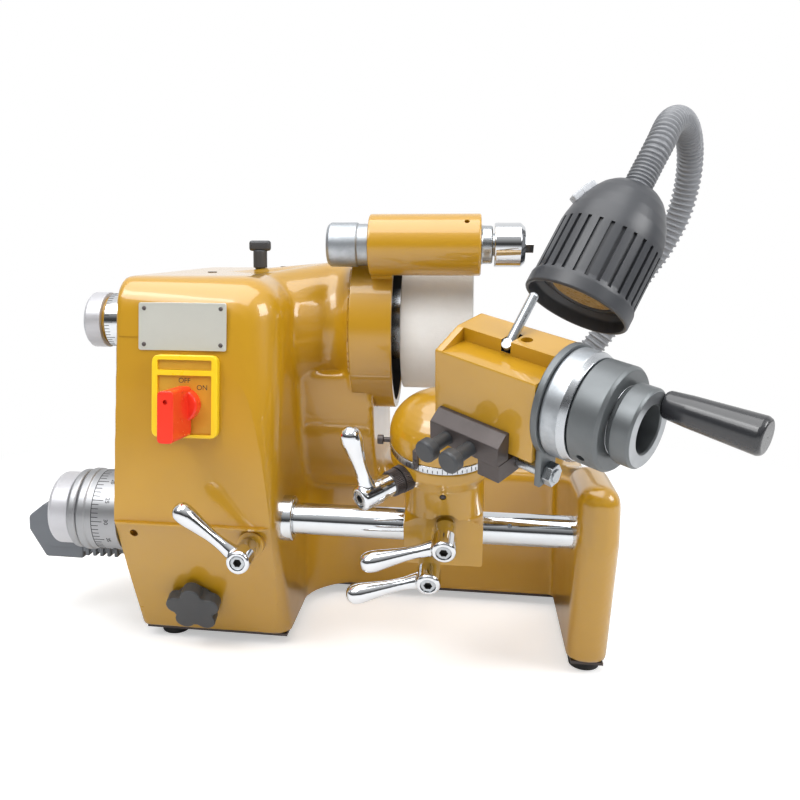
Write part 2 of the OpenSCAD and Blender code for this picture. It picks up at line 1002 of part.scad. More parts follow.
module clamp_lever(turn) {
  difference() {
    union() {
      rotate([90, 0, 0])
        cylinder(h = hub_l, r = hub_r);
      translate([0, -hub_l + hub_r, 0])
        rotate([0, turn, 0])
          rotate([arm_cant, 0, 0]) {
            cylinder(h = arm_l, r1 = arm_root_r, r2 = arm_tip_r);
            translate([0, 0, arm_l])
              sphere(ball_r);
          }
    }
    translate([0, -hub_l, 0])
      rotate([-90, 0, 0])
        translate([0, 0, -overrun])
          cylinder(h = socket_d + overrun, r = socket_r, $fn = 6);
  }
  rotate([-90, 0, 0])
    translate([0, 0, -overrun])
      cylinder(h = stud_l + overrun, r = stud_r);
}

module bar_lock_lever() {
  color(bright_steel)
    translate([lever_x, front_y - gap, lever_z])
      clamp_lever(bar_lever_turn);
}

// Carriage, in the frame of the arm
carriage_bottom = -16;
flat_y = -22;
flat_top = 31;
upper_x = 1.5;
upper_z = 20;
lower_x = -8.5;
lower_z = -7;
swivel_lever_drop = 10;
swivel_lever_z = table_h - swivel_lever_drop;
swivel_boss_l = 4;
bowl_share = 0.6;
swivel_lever_turn = -45;
pin_r = 8;
pin_up = 12;
pin_top = 22;
nick_r = 2;
nick_drop = 3;
nick_z = table_h - table_t - nick_drop;
bar_boss_r = 17.6;
bar_boss_in = 3;
lever_turn = -95;
bar_lever_turn = -49;
top_lever_turn = -12;

module carriage() {
  color(yellow_paint)
    difference() {
      at_arm(carriage_x) {
        difference() {
          rotate_extrude()
            polygon([[0, carriage_bottom], [neck_r, carriage_bottom], [neck_r, table_h - table_t],
              [table_r, table_h - table_t * (1 - bowl_share)], [table_r, table_h], [0, table_h]]);
          block([-neck_r * 2, -neck_r * 2, carriage_bottom - overrun], [neck_r * 2, flat_y, flat_top]);
        }
        rotate([0, 0, swivel_lever_turn])
          translate([0, -table_r - swivel_boss_l, swivel_lever_z])
            rotate([-90, 0, 0])
              cylinder(h = swivel_boss_l + table_r - neck_r, r = hub_r + lever_seat);
        rod_x(-neck_r + bar_boss_in, neck_r - bar_boss_in, bar_boss_r);
      }
      at_arm(carriage_x) {
        rod_x(-neck_r * 2, neck_r * 2, bar_r + fit);
        for (p = [[upper_x, upper_z], [lower_x, lower_z]])
          translate([p.x, flat_y - overrun, p.y])
            rotate([-90, 0, 0])
              cylinder(h = stud_l + overrun * 2, r = stud_r + loose);
        rotate([0, 0, swivel_lever_turn])
          translate([0, -table_r - swivel_boss_l - overrun, swivel_lever_z])
            rotate([-90, 0, 0])
              cylinder(h = stud_l + overrun * 2, r = stud_r + loose);
        translate([0, 0, table_h - pin_top])
          cylinder(h = pin_top * 2, r = pin_r);
        translate([0, -neck_r, nick_z])
          rotate([90, 0, 0])
            cylinder(h = nick_r * 2, r = nick_r, center = true);
      }
    }
}

module carriage_lever_upper() {
  color(bright_steel)
    at_arm(carriage_x)
      translate([upper_x, flat_y - gap, upper_z])
        clamp_lever(lever_turn);
}

module carriage_lever_lower() {
  color(bright_steel)
    at_arm(carriage_x)
      translate([lower_x, flat_y - gap, lower_z])
        clamp_lever(lever_turn);
}

module swivel_lever() {
  color(bright_steel)
    at_arm(carriage_x)
      rotate([0, 0, swivel_lever_turn])
        translate([0, -table_r - swivel_boss_l - gap, swivel_lever_z])
          clamp_lever(top_lever_turn);
}

module swivel_ring() {
  color(light_alloy)
    at_arm(carriage_x)
      translate([0, 0, table_h])
        difference() {
          cylinder(h = ring_h, r = table_r + thin);
          translate([0, 0, -overrun])
            cylinder(h = ring_h + overrun * 2, r = pin_r);
        }
}

module swivel_pin() {
  color(bright_steel)
    at_arm(carriage_x) {
      translate([0, 0, table_h - pin_top])
        cylinder(h = pin_top + ring_h + pin_up, r = pin_r);
    }
}

// Work head housing with its round foot, in the frame of the head
dome_z = table_h + ring_h + gap - work_h;
dome_lap = 7;
dome_top = -housing_half_h + dome_lap;
dome_lip = 5;
housing_chamfer = 13;
housing_end_x = housing_x + housing_l;
ridge_y = -8;
ledge_drop = 8.5;
ledge_z = housing_half_h - ledge_drop;
notch_in = 5;
notch_x = housing_x + notch_in;
slot_w = 6.4;
slot_in = 32;
slot_x = housing_x + slot_in;
slot_back_y = 4.5;
slot_lip = 1.1;
slot_floor = ledge_z + slot_lip;
drill_r = 3.5;
drill_in = 43.5;
drill_y = 0.5;

module workhead_housing() {
  w = housing_half_w;
  h = housing_half_h;
  c = housing_chamfer;
  rise = dome_top - dome_z - dome_lip;
  color(yellow_paint)
    at_head()
      difference() {
        union() {
          along_x(housing_x, housing_end_x)
            polygon([[-w, -h], [w - c, -h], [w, -h + c], [w, h - c], [w - c, h],
              [ridge_y, h], [-w, ledge_z]]);
          rotate_extrude()
            polygon(concat([[0, dome_z], [table_r, dome_z], [table_r, dome_z + dome_lip]],
              [for (a = [10 : 10 : 80])
                [table_r * cos(a), dome_z + dome_lip + rise * sin(a)]],
              [[0, dome_top]]));
        }
        rod_x(-table_r * 2, housing_end_x + overrun, spindle_r + fit);
        translate([0, 0, dome_z - overrun])
          cylinder(h = pin_up + overrun * 2, r = pin_r + fit);
        block([notch_x, -w - overrun, ledge_z], [housing_end_x + overrun, ridge_y, h + overrun]);
        block([slot_x, ridge_y - overrun, slot_floor], [slot_x + slot_w, slot_back_y, h + overrun]);
        translate([housing_x + drill_in, drill_y, slot_floor])
          cylinder(h = h, r = drill_r);
      }
}

stop_plate_t = 4;
plate_x = housing_end_x + gap;
lug_root_share = 0.6;
lug_w = 16;
lug_h = 13;
rod_y = -18;
rod_drop = 5;
rod_z = -plate_r - rod_drop;
rod_r = 4;

module stop_plate() {
  color("#4A5058")
    at_head()
      difference() {
        union() {
          rod_x(plate_x, plate_x + stop_plate_t, plate_r);
          block([plate_x, rod_y - lug_w / 2, rod_z - lug_h / 2],
            [plate_x + stop_plate_t, rod_y + lug_w / 2, -plate_r * lug_root_share]);
        }
        rod_x(plate_x - overrun, plate_x + stop_plate_t + overrun, spindle_r + fit);
        translate([0, rod_y, rod_z])
          rod_x(plate_x - overrun, plate_x + stop_plate_t + overrun, rod_r);
      }
}

index_ring_x = plate_x + stop_plate_t + gap;
index_collar_x = index_ring_x + index_ring_l;
draw_collar_x = index_collar_x + index_collar_l;
draw_end_x = draw_collar_x + draw_collar_l;
spindle_nose = 4;
spindle_x0 = housing_x - spindle_nose;
spindle_x1 = draw_collar_x;
collet_l = 34;
collet_nose_l = 5;
collet_r0 = 12;
pin_hole_r = 2.4;
pin_hole_turn = 120;
pin_hole_share = 0.45;

module work_spindle() {
  color(bright_steel)
    at_head()
      difference() {
        rod_x(spindle_x0, spindle_x1, spindle_r);
        rod_x(spindle_x0 - overrun, spindle_x1 + overrun, spindle_bore_r);
      }
}

module collet() {
  color(light_alloy)
    at_head()
      difference() {
        union() {
          rod_x(spindle_x0, spindle_x0 + collet_l, spindle_bore_r);
          cone_x(spindle_x0 - collet_nose_l, spindle_x0, collet_r0, spindle_bore_r);
        }
        rod_x(spindle_x0 - collet_nose_l - overrun, spindle_x0 + collet_l + overrun, collet_bore_r);
      }
}

module index_ring() {
  color(light_alloy)
    at_head()
      tube_x(index_ring_x, index_collar_x, index_ring_r, spindle_r);
}

module index_collar() {
  color(dark_paint)
    at_head()
      difference() {
        tube_x(index_collar_x, draw_collar_x, index_collar_r, spindle_r);
        translate([index_collar_x + index_collar_l * pin_hole_share, 0, 0])
          rotate([pin_hole_turn, 0, 0])
            translate([0, 0, spindle_r])
              cylinder(h = index_collar_r, r = pin_hole_r);
      }
}

handle_off = 18;
handle_angle = 30;

module at_handle() {
  at_head()
    rotate([handle_angle, 0, 0])
      translate([0, handle_off, 0])
        children();
}

crank_r = 3;
crank_seat = 12;
handle_round = 2;
handle_x = draw_end_x + gap;
stud_end_x = handle_x + handle_l - crank_seat / 2;

module draw_collar() {
  color(dark_paint)
    difference() {
      at_head()
        tube_x(draw_collar_x, draw_end_x, draw_collar_r, spindle_bore_r);
      at_handle()
        rod_x(draw_end_x - crank_seat, draw_end_x + overrun, crank_r);
    }
}

module crank_stud() {
  color(bright_steel)
    at_handle()
      rod_x(draw_end_x - crank_seat, stud_end_x, crank_r);
}

module crank_handle() {
  color("#222222")
    at_handle()
      difference() {
        union() {
          cone_x(handle_x, handle_x + handle_l - handle_round, handle_r - handle_round, handle_r);
          cone_x(handle_x + handle_l - handle_round, handle_x + handle_l, handle_r,
            handle_r - handle_round);
        }
        rod_x(draw_end_x, stud_end_x + gap, crank_r + fit);
      }
}

index_rod_r = 2.9;
index_rod_l = 35;
index_lean = 46.5;
index_pivot_r = 3.4;
index_y = -5.6;
index_z = slot_floor + index_pivot_r + gap;

module index_lever() {
  color(bright_steel)
    at_head()
      translate([slot_x + slot_w / 2, index_y, index_z])
        rotate([-index_lean, 0, 0]) {
          cylinder(h = index_rod_l, r = index_rod_r);
          rod_x(-index_rod_r, index_rod_r, index_pivot_r);
        }
}

// Stop rail on the front of the housing
rail_in = 5;
rail_x0 = housing_x + rail_in;
rail_end_in = 15;
rail_x1 = housing_end_x - rail_end_in;
rail_d = 14;
rail_h = 18;
rail_drop = 4;
rail_z = -housing_half_h - rail_drop;
rail_lip = 4;
rail_chamfer = 7.5;
thumb_up = 5.4;
thumb_pitch = 17;
rail_y = -housing_half_w;
screw_head_r = 7.5;
screw_head_l = 8;
screw_stem_r = 4.2;
screw_stem_l = 10;
thumb_inset = 13;
thumb_z = rail_z + thumb_up;
thumb_places = [rail_x0 + thumb_inset, rail_x0 + thumb_inset + thumb_pitch];
block_l = 15;
block_x = rail_x1 - block_l;
block_wall = 4;

module stop_rail() {
  color("#57504F")
    at_head()
      difference() {
        along_x(rail_x0, rail_x1)
          polygon([[rail_y, rail_z], [rail_y, rail_z + rail_h], [rail_y - rail_lip, rail_z + rail_h],
            [rail_y - rail_d, rail_z + rail_h - rail_chamfer], [rail_y - rail_d, rail_z]]);
        for (x = thumb_places)
          translate([x, rail_y - rail_d - overrun, thumb_z])
            rotate([-90, 0, 0])
              cylinder(h = rail_d / 2 + overrun, r = screw_stem_r + loose);
      }
}

module stop_block() {
  color("#3A3636")
    at_head()
      difference() {
        block([block_x, rail_y - rail_d, rod_z - lug_h / 2],
          [block_x + block_l, rod_y + rod_r + block_wall, rail_z]);
        translate([0, rod_y, rod_z])
          rod_x(block_x - overrun, block_x + block_l + overrun, rod_r + loose);
      }
}

rod_back_l = 17;
rod_x0 = block_x - rod_back_l;
rod_nut_r = 7;
rod_nut_l = 5;
rod_ring_r = 5.5;
rod_ring_l = 3;
rod_x1 = plate_x + stop_plate_t + rod_nut_l + overrun;

module stop_rod() {
  color(bright_steel)
    at_head()
      translate([0, rod_y, rod_z]) {
        rod_x(rod_x0, rod_x1, rod_r);
        rod_x(rod_x0, rod_x0 + rod_ring_l, rod_ring_r);
        rod_x(plate_x + stop_plate_t, plate_x + stop_plate_t + rod_nut_l, rod_nut_r, $fn = 6);
      }
}

module thumb_screw(x) {
  color(dark_paint)
    at_head()
      translate([x, rail_y - rail_d / 2 - gap, thumb_z])
        rotate([90, 0, 0]) {
          cylinder(h = rail_d / 2 + screw_stem_l, r = screw_stem_r);
          translate([0, 0, rail_d / 2 + screw_stem_l])
            cylinder(h = screw_head_l, r = screw_head_r);
        }
}

module thumb_screw_left() {
  thumb_screw(thumb_places[0]);
}

module thumb_screw_right() {
  thumb_screw(thumb_places[1]);
}

// Dresser over the wheel
dresser_x0 = 1;
dresser_x1 = dresser_x0 + dresser_l;
saddle_w = 28;
dresser_shaft_r = 8;
knob_l = 30;
neck_l = 8;
neck_out_r = 13.5;
cap_l = 21;
cap_seat_l = 15;
cap_r = 15.5;
nub_l = 6;
nub_r = 6;

module at_dresser() {
  at_spindle()
    rotate([dresser_lean, 0, 0])
      translate([0, 0, dresser_reach])
        children();
}

module dresser_bracket() {
  color(yellow_paint)
    difference() {
      union() {
        at_dresser() {
          rod_x(dresser_x0, dresser_x1, dresser_r);
          rod_x(dresser_x1, dresser_x1 + neck_l, neck_out_r);
          block([dresser_x0, -saddle_w / 2, -dresser_reach + guard_r - guard_wall],
            [guard_end_x, saddle_w / 2, 0]);
        }
      }
      at_dresser()
        rod_x(dresser_x0 - overrun, dresser_x1 + neck_l + overrun, dresser_shaft_r + fit);
      at_spindle()
        rod_x(dresser_x0 - overrun, guard_end_x + overrun, guard_r + thin);
      at_spindle()
        rod_x(guard_end_x, dresser_x1 + neck_l, wheel_r + guard_wall);
    }
}

module dresser_shaft() {
  color(bright_steel)
    at_dresser() {
      rod_x(dresser_x0 - gap - knob_l, dresser_x0 - gap, dresser_knob_r);
      rod_x(dresser_x0 - gap - knob_l / 2, dresser_x1 + neck_l + cap_seat_l, dresser_shaft_r);
    }
}

module dresser_cap() {
  x0 = dresser_x1 + neck_l + wide_gap;
  color(bright_steel)
    at_dresser()
      difference() {
        union() {
          rod_x(x0, x0 + cap_l, cap_r);
          rod_x(x0 + cap_l, x0 + cap_l + nub_l, nub_r, $fn = 6);
        }
        rod_x(x0 - overrun, dresser_x1 + neck_l + cap_seat_l, dresser_shaft_r);
      }
}

// Lamp on its gooseneck
lamp_neck = [187.5, -39, 341];
lamp_tilt = 33;
lamp_azimuth = 35.5;
lamp_base_r = 16;
lamp_base_h = 22;
lamp_neck_r = 12;
lamp_bell_l = 44;
lamp_rib_l = 40.5;
lamp_rib_w = 3.5;
lamp_rib_in = 1.5;
lamp_ribs = 28;
lamp_body_r = 34;
lamp_rim_l = lamp_l - lamp_bell_l - lamp_rib_l;
bell_z = lamp_rim_l + lamp_rib_l;
bell_r = 36;
bell_shares = [[1, 0.1], [0.955, 0.3], [0.87, 0.5], [0.755, 0.7], [0.65, 0.83], [0.52, 0.93], [0.34, 1]];
bell_hollow_shares = [[0.5, 0.8], [0.75, 0.5]];
lens_gap = 0.5;
lens_r = lamp_body_r - lamp_wall - lens_gap;
lens_in = 11;
lens_l = 36;
lens_rim_l = 8;
rim_share = 0.8;
recess_share = 0.7;
rocker_w = 20;
rocker_d = 9;
rocker_t = 5;
rocker_up = 4;
rocker_play = 1;
rocker_pin_r = 2;
rocker_pin_out = 0.5;
rocker_shares = [0.855, 0.535];
rocker_azimuth = 150;
rocker_lean = 68;
rocker_z = bell_z + lamp_bell_l * rocker_shares.y;
rocker_r = bell_r * rocker_shares.x;

// The lamp stands on its rim centre, with Z up the neck
module at_lamp() {
  translate(lamp_neck)
    rotate([0, lamp_tilt, lamp_azimuth])
      translate([0, 0, -lamp_l])
        children();
}

module at_rocker() {
  at_lamp()
    rotate([0, 0, rocker_azimuth])
      translate([rocker_r, 0, rocker_z])
        rotate([0, rocker_lean, 0])
          children();
}

module lamp_base() {
  color(dark_paint)
    translate([lamp_base_x, lamp_base_y, deck_z])
      difference() {
        cylinder(h = lamp_base_h, r1 = lamp_base_r, r2 = hose_r + lamp_wall);
        translate([0, 0, lamp_base_h / 3])
          cylinder(h = lamp_base_h, r = hose_bore_r);
      }
}

module lamp_housing() {
  z_rib = lamp_rim_l;
  inner = lamp_r - lamp_wall;
  color("#55585C")
    difference() {
      at_lamp() {
        rotate_extrude()
          polygon(concat([[inner, 0], [lamp_r, 0], [lamp_r, z_rib * rim_share], [lamp_body_r, z_rib],
            [lamp_body_r, bell_z], [bell_r, bell_z]],
            [for (p = bell_shares) [bell_r * p.x, bell_z + lamp_bell_l * p.y]],
            [[hose_bore_r, lamp_l], [hose_bore_r, lamp_l - lamp_wall * 2]],
            [for (p = bell_hollow_shares) [bell_r * p.x, bell_z + lamp_bell_l * p.y]],
            [[lamp_body_r - lamp_wall, bell_z], [lamp_body_r - lamp_wall, z_rib],
            [inner, z_rib * recess_share]]));
        for (i = [0 : lamp_ribs - 1])
          rotate(i * full_turn / lamp_ribs)
            block([lamp_body_r - lamp_wall / 2, -lamp_rib_w / 2, z_rib - lamp_rib_in],
              [lamp_body_r + lamp_wall, lamp_rib_w / 2, bell_z - lamp_rib_in]);
      }
      at_rocker()
        block([-rocker_w / 2 - rocker_play, -rocker_d / 2 - rocker_play, -rocker_t * 2],
          [rocker_w / 2 + rocker_play, rocker_d / 2 + rocker_play, rocker_t * 2]);
    }
}

module lamp_lens() {
  color("#C9974A")
    at_lamp()
      translate([0, 0, lens_in]) {
        cylinder(h = lens_rim_l, r = lens_r);
        cylinder(h = lens_l, r1 = lens_r, r2 = lamp_neck_r);
      }
}

module lamp_switch() {
  color("#222222")
    at_rocker() {
      block([-rocker_w / 2, -rocker_d / 2, -rocker_t], [rocker_w / 2, rocker_d / 2, rocker_up]);
      rotate([90, 0, 0])
        cylinder(h = rocker_d + rocker_pin_out * 2, r = rocker_pin_r, center = true);
    }
}

// Route of the gooseneck, from its base to the lamp neck
hose_rise = 19;
hose_route = [
  [lamp_base_x, lamp_base_y, deck_z + lamp_base_h],
  [lamp_base_x, lamp_base_y, deck_z + lamp_base_h + hose_rise],
  [155, 91, 180], [172, 90, 202], [189, 90, 225], [203, 90, 249], [217, 89, 273], [233, 87, 298],
  [245, 83, 325], [249.5, 75, 352], [247, 60, 376], [238.5, 38, 391], [227, 14, 396], [215, -10, 390],
  [205, -26.5, 373.8], [195.5, -33.3, 356.1], lamp_neck
];
hose_last = len(hose_route) - 1;
hose_rings = hose_ribs * 2;
hose_sides = 8;
hose_rib_h = 1.6;
hose_root_r = hose_r - hose_rib_h;

// Smooth curve through the points of the route
function route_point(i) = hose_route[max(0, min(hose_last, i))];
function route_at(t) =
  let (i = min(hose_last - 1, floor(t)), f = t - i,
    a = i == 0 ? 2 * route_point(0) - route_point(1) : route_point(i - 1),
    b = route_point(i), c = route_point(i + 1),
    d = i == hose_last - 1
      ? 2 * route_point(hose_last) - route_point(hose_last - 1) : route_point(i + 2))
  0.5 * (2 * b + (c - a) * f + (2 * a - 5 * b + 4 * c - d) * f * f
    + (3 * b - a - 3 * c + d) * f * f * f);
function unit(v) = v / norm(v);
hose_points = [for (i = [0 : hose_rings]) route_at(i * hose_last / hose_rings)];
hose_dirs = [for (i = [0 : hose_rings])
  unit(hose_points[min(hose_rings, i + 1)] - hose_points[max(0, i - 1)])];
// Sideways direction carried along the hose without twist
function carried(side, dir) = unit(side - (side * dir) * dir);
hose_sides_dirs = [for (i = 0, s = [1, 0, 0]; i <= hose_rings;
  i = i + 1, s = carried(s, hose_dirs[min(i, hose_rings)])) carried(s, hose_dirs[i])];

function hose_ring(i, r) = [for (k = [0 : hose_sides - 1])
  let (a = k * full_turn / hose_sides, s = hose_sides_dirs[i], u = cross(hose_dirs[i], s))
  hose_points[i] + r * (cos(a) * s + sin(a) * u)];
hose_outer = [for (i = [0 : hose_rings]) each hose_ring(i, i % 2 == 0 ? hose_root_r : hose_r)];
hose_inner = [for (i = [0 : hose_rings]) each hose_ring(i, hose_bore_r)];
hose_inner_start = len(hose_outer);
function hose_quad(a, b, c, d) = [[a, b, c], [a, c, d]];
hose_faces = concat(
  [for (i = [0 : hose_rings - 1], k = [0 : hose_sides - 1])
    let (n = (k + 1) % hose_sides, p = i * hose_sides, q = p + hose_sides)
    each hose_quad(p + k, q + k, q + n, p + n)],
  [for (i = [0 : hose_rings - 1], k = [0 : hose_sides - 1])
    let (n = (k + 1) % hose_sides, p = hose_inner_start + i * hose_sides, q = p + hose_sides)
    each hose_quad(p + n, q + n, q + k, p + k)],
  [for (k = [0 : hose_sides - 1])
    let (n = (k + 1) % hose_sides)
    each hose_quad(k, n, hose_inner_start + n, hose_inner_start + k)],
  [for (k = [0 : hose_sides - 1])
    let (n = (k + 1) % hose_sides, p = hose_rings * hose_sides, q = hose_inner_start + p)
    each hose_quad(p + n, p + k, q + k, q + n)]);
hose_apart = ceil(hose_ribs / 4);
hose_least_gap = min([for (i = [0 : 4 : hose_rings], j = [i + hose_apart : 4 : hose_rings])
  norm(hose_points[i] - hose_points[j]) - 2 * hose_r]);
echo(hose_least_gap = hose_least_gap);

module gooseneck() {
  color("#3E4145")
    polyhedron(points = concat(hose_outer, hose_inner), faces = hose_faces, convexity = 8);
}

base_casting();
bottom_cover();
feet();
foot_screws();
name_plate();
plate_rivets();
wheel_guard();
quill();
spindle_bearings();
spindle_shaft();
spindle_pulley();
wheel_flange();
grinding_wheel();
wheel_nut();
quill_knob();
quill_lock_screw();
motor_body();
motor_bracket();
motor_shaft();
motor_pulley();
drive_belt();
tension_knob();
switch_frame();
switch_knob();
switch_body();
power_inlet();
guide_bar();
feed_sleeve();
feed_barrel();
feed_knob();
bar_lock_lever();
carriage();
carriage_lever_upper();
carriage_lever_lower();
swivel_ring();
swivel_pin();
swivel_lever();
workhead_housing();
stop_plate();
work_spindle();
collet();
index_ring();
index_collar();
draw_collar();
crank_stud();
crank_handle();
index_lever();
stop_rail();
stop_block();
stop_rod();
thumb_screw_left();
thumb_screw_right();
dresser_bracket();
dresser_shaft();
dresser_cap();
lamp_base();
gooseneck();
lamp_housing();
lamp_lens();
lamp_switch();
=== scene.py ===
"""Dresses the tool and cutter grinder: castings, bright work, dials, work head and lamp."""

import json
import logging
import math
from collections.abc import Callable, Sequence
from dataclasses import dataclass
from enum import Enum

import bmesh
import bpy
from mathutils import Matrix, Vector


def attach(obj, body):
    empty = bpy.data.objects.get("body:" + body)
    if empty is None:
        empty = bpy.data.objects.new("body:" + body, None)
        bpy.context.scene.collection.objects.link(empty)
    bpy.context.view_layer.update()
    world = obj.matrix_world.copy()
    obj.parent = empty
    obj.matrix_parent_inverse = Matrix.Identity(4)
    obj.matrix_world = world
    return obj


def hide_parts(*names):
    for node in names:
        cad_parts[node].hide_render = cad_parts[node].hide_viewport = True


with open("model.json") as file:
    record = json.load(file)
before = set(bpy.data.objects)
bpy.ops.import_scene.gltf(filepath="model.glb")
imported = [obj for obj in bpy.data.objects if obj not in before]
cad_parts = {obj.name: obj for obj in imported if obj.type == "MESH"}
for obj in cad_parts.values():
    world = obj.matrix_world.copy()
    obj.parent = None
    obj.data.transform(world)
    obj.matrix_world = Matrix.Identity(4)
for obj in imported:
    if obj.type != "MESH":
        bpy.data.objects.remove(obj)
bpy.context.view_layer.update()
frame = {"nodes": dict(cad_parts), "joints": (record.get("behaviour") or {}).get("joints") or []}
log = logging.getLogger("grinder")

Point2 = tuple[float, float]
Point3 = tuple[float, float, float]
Round = tuple[Point3, float]
Test = Callable[[Vector, Vector], bool]
METRES = 0.001
NOISE_LOW, NOISE_HIGH = 0.25, 0.75
SMOOTHEST = 0.02


# Finishes


def linear(code: str) -> tuple[float, float, float, float]:
    """Turns an sRGB hex colour into linear light.

    Args:
        code: Colour such as "#C8951F".

    Returns:
        Red, green, blue and an alpha of one.
    """
    parts = [int(code[i:i + 2], 16) / 255 for i in (1, 3, 5)]
    light = [p / 12.92 if p <= 0.04045 else ((p + 0.055) / 1.055) ** 2.4 for p in parts]
    return (light[0], light[1], light[2], 1.0)


WHITE = linear("#FFFFFF")


def add(tree: bpy.types.NodeTree, kind: str, settings: dict | None = None,
        links: dict | None = None) -> bpy.types.Node:
    """Adds a node with its settings and links.

    Args:
        tree: Node tree that the node joins.
        kind: Node type after "ShaderNode".
        settings: Properties, or input values by socket name or number.
        links: Output sockets by the input that each one feeds.

    Returns:
        The new node.
    """
    made = tree.nodes.new("ShaderNode" + kind)
    for key, value in (settings or {}).items():
        if isinstance(key, str) and hasattr(made, key):
            setattr(made, key, value)
        else:
            made.inputs[key].default_value = value
    for key, source in (links or {}).items():
        tree.links.new(source, made.inputs[key])
    return made


def fresh_tree(owner: bpy.types.Material | bpy.types.World) -> bpy.types.NodeTree:
    """Empties the node tree of a material or a world and hands it out.

    Args:
        owner: Material or world.

    Returns:
        The empty node tree.
    """
    owner.use_nodes = True
    owner.node_tree.nodes.clear()
    return owner.node_tree


def shown(name: str, data: bpy.types.ID) -> bpy.types.Object:
    """Puts data into the scene as an object.

    Args:
        name: Name of the object.
        data: Mesh, light or camera.

    Returns:
        The object.
    """
    made = bpy.data.objects.new(name, data)
    bpy.context.scene.collection.objects.link(made)
    return made


@dataclass(frozen=True)
class Finish:
    """A surface finish whose patterns are sized in millimetres.

    The colour drifts to the shade in soft patches, the roughness drifts with it, and a fine
    grain stands in the surface.
    """

    name: str
    colour: str
    shade: str
    roughness: float
    drift: float = 0.06
    patch_mm: float = 30.0
    grain_mm: float = 1.0
    grain_high_mm: float = 0.01
    metallic: float = 0.0
    coat: float = 0.0
    coat_roughness: float = 0.05
    coat_ior: float = 1.5
    ior: float = 1.5

    def grain(self, tree: bpy.types.NodeTree, place: bpy.types.NodeSocket) -> bpy.types.NodeSocket:
        """Gives the height of the fine grain from zero to one."""
        noise = add(tree, "TexNoise", {"Scale": 1 / (self.grain_mm * METRES), "Detail": 3.0,
                                       "Roughness": 0.55}, {"Vector": place})
        return noise.outputs[0]

    def material(self) -> bpy.types.Material:
        """Makes the material once and hands the same one out afterwards.

        Returns:
            The material.
        """
        known = bpy.data.materials.get(self.name)
        if known:
            return known
        made = bpy.data.materials.new(self.name)
        tree = fresh_tree(made)
        place = add(tree, "TexCoord").outputs["Object"]
        patch = add(tree, "TexNoise", {"Scale": 1 / (self.patch_mm * METRES), "Detail": 4.0,
                                       "Roughness": 0.6}, {"Vector": place}).outputs[0]
        tint = add(tree, "Mix", {"data_type": "RGBA", 6: linear(self.colour),
                                 7: linear(self.shade)}, {0: patch})
        gloss = add(tree, "MapRange", {"From Min": NOISE_LOW, "From Max": NOISE_HIGH,
                                       "To Min": max(SMOOTHEST, self.roughness - self.drift),
                                       "To Max": min(1.0, self.roughness + self.drift)},
                    {"Value": patch})
        bump = add(tree, "Bump", {"Strength": 1.0, "Distance": self.grain_high_mm * METRES},
                   {"Height": self.grain(tree, place)})
        settings = {"Metallic": self.metallic, "Coat Weight": self.coat,
                    "Coat Roughness": self.coat_roughness, "Coat IOR": self.coat_ior}
        if self.metallic < 0.5:
            settings["IOR"] = self.ior
        shader = add(tree, "BsdfPrincipled", settings,
                     {"Base Color": tint.outputs[2], "Roughness": gloss.outputs[0],
                      "Normal": bump.outputs[0]})
        add(tree, "OutputMaterial", None, {"Surface": shader.outputs[0]})
        return made


@dataclass(frozen=True)
class TurnedFinish(Finish):
    """A finish with the rings that a lathe tool leaves round an axis."""

    seat: "Seat | None" = None

    def grain(self, tree: bpy.types.NodeTree, place: bpy.types.NodeSocket) -> bpy.types.NodeSocket:
        """Gives the height of the tool rings.

        Args:
            tree: Node tree of the material.
            place: Object coordinates.

        Returns:
            Socket with a height from zero to one.
        """
        matrix = self.seat.placed()
        local = add(tree, "Mapping", {"vector_type": "TEXTURE", "Location": matrix.to_translation(),
                                      "Rotation": matrix.to_euler()}, {"Vector": place}).outputs[0]
        along = add(tree, "SeparateXYZ", None, {0: local}).outputs[0]
        across = add(tree, "VectorMath", {"operation": "MULTIPLY", 1: (0.0, 1.0, 1.0)}, {0: local})
        out = add(tree, "VectorMath", {"operation": "LENGTH"},
                  {0: across.outputs[0]}).outputs["Value"]
        rings = add(tree, "CombineXYZ", None, {0: along, 1: out}).outputs[0]
        noise = add(tree, "TexNoise", {"Scale": 1 / (self.grain_mm * METRES), "Detail": 2.0},
                    {"Vector": rings})
        return noise.outputs[0]


@dataclass(frozen=True)
class GritFinish(Finish):
    """A finish of bonded grains with open pores between them."""

    def grain(self, tree: bpy.types.NodeTree, place: bpy.types.NodeSocket) -> bpy.types.NodeSocket:
        """Gives the height of the grains, which falls away from each grain's middle."""
        cells = add(tree, "TexVoronoi", {"Scale": 1 / (self.grain_mm * METRES), "Randomness": 1.0},
                    {"Vector": place})
        return cells.outputs["Distance"]


# Places


def joint_named(name: str) -> dict:
    """Gives a joint of the packed model."""
    return next(j for j in frame["joints"] if j["name"] == name)


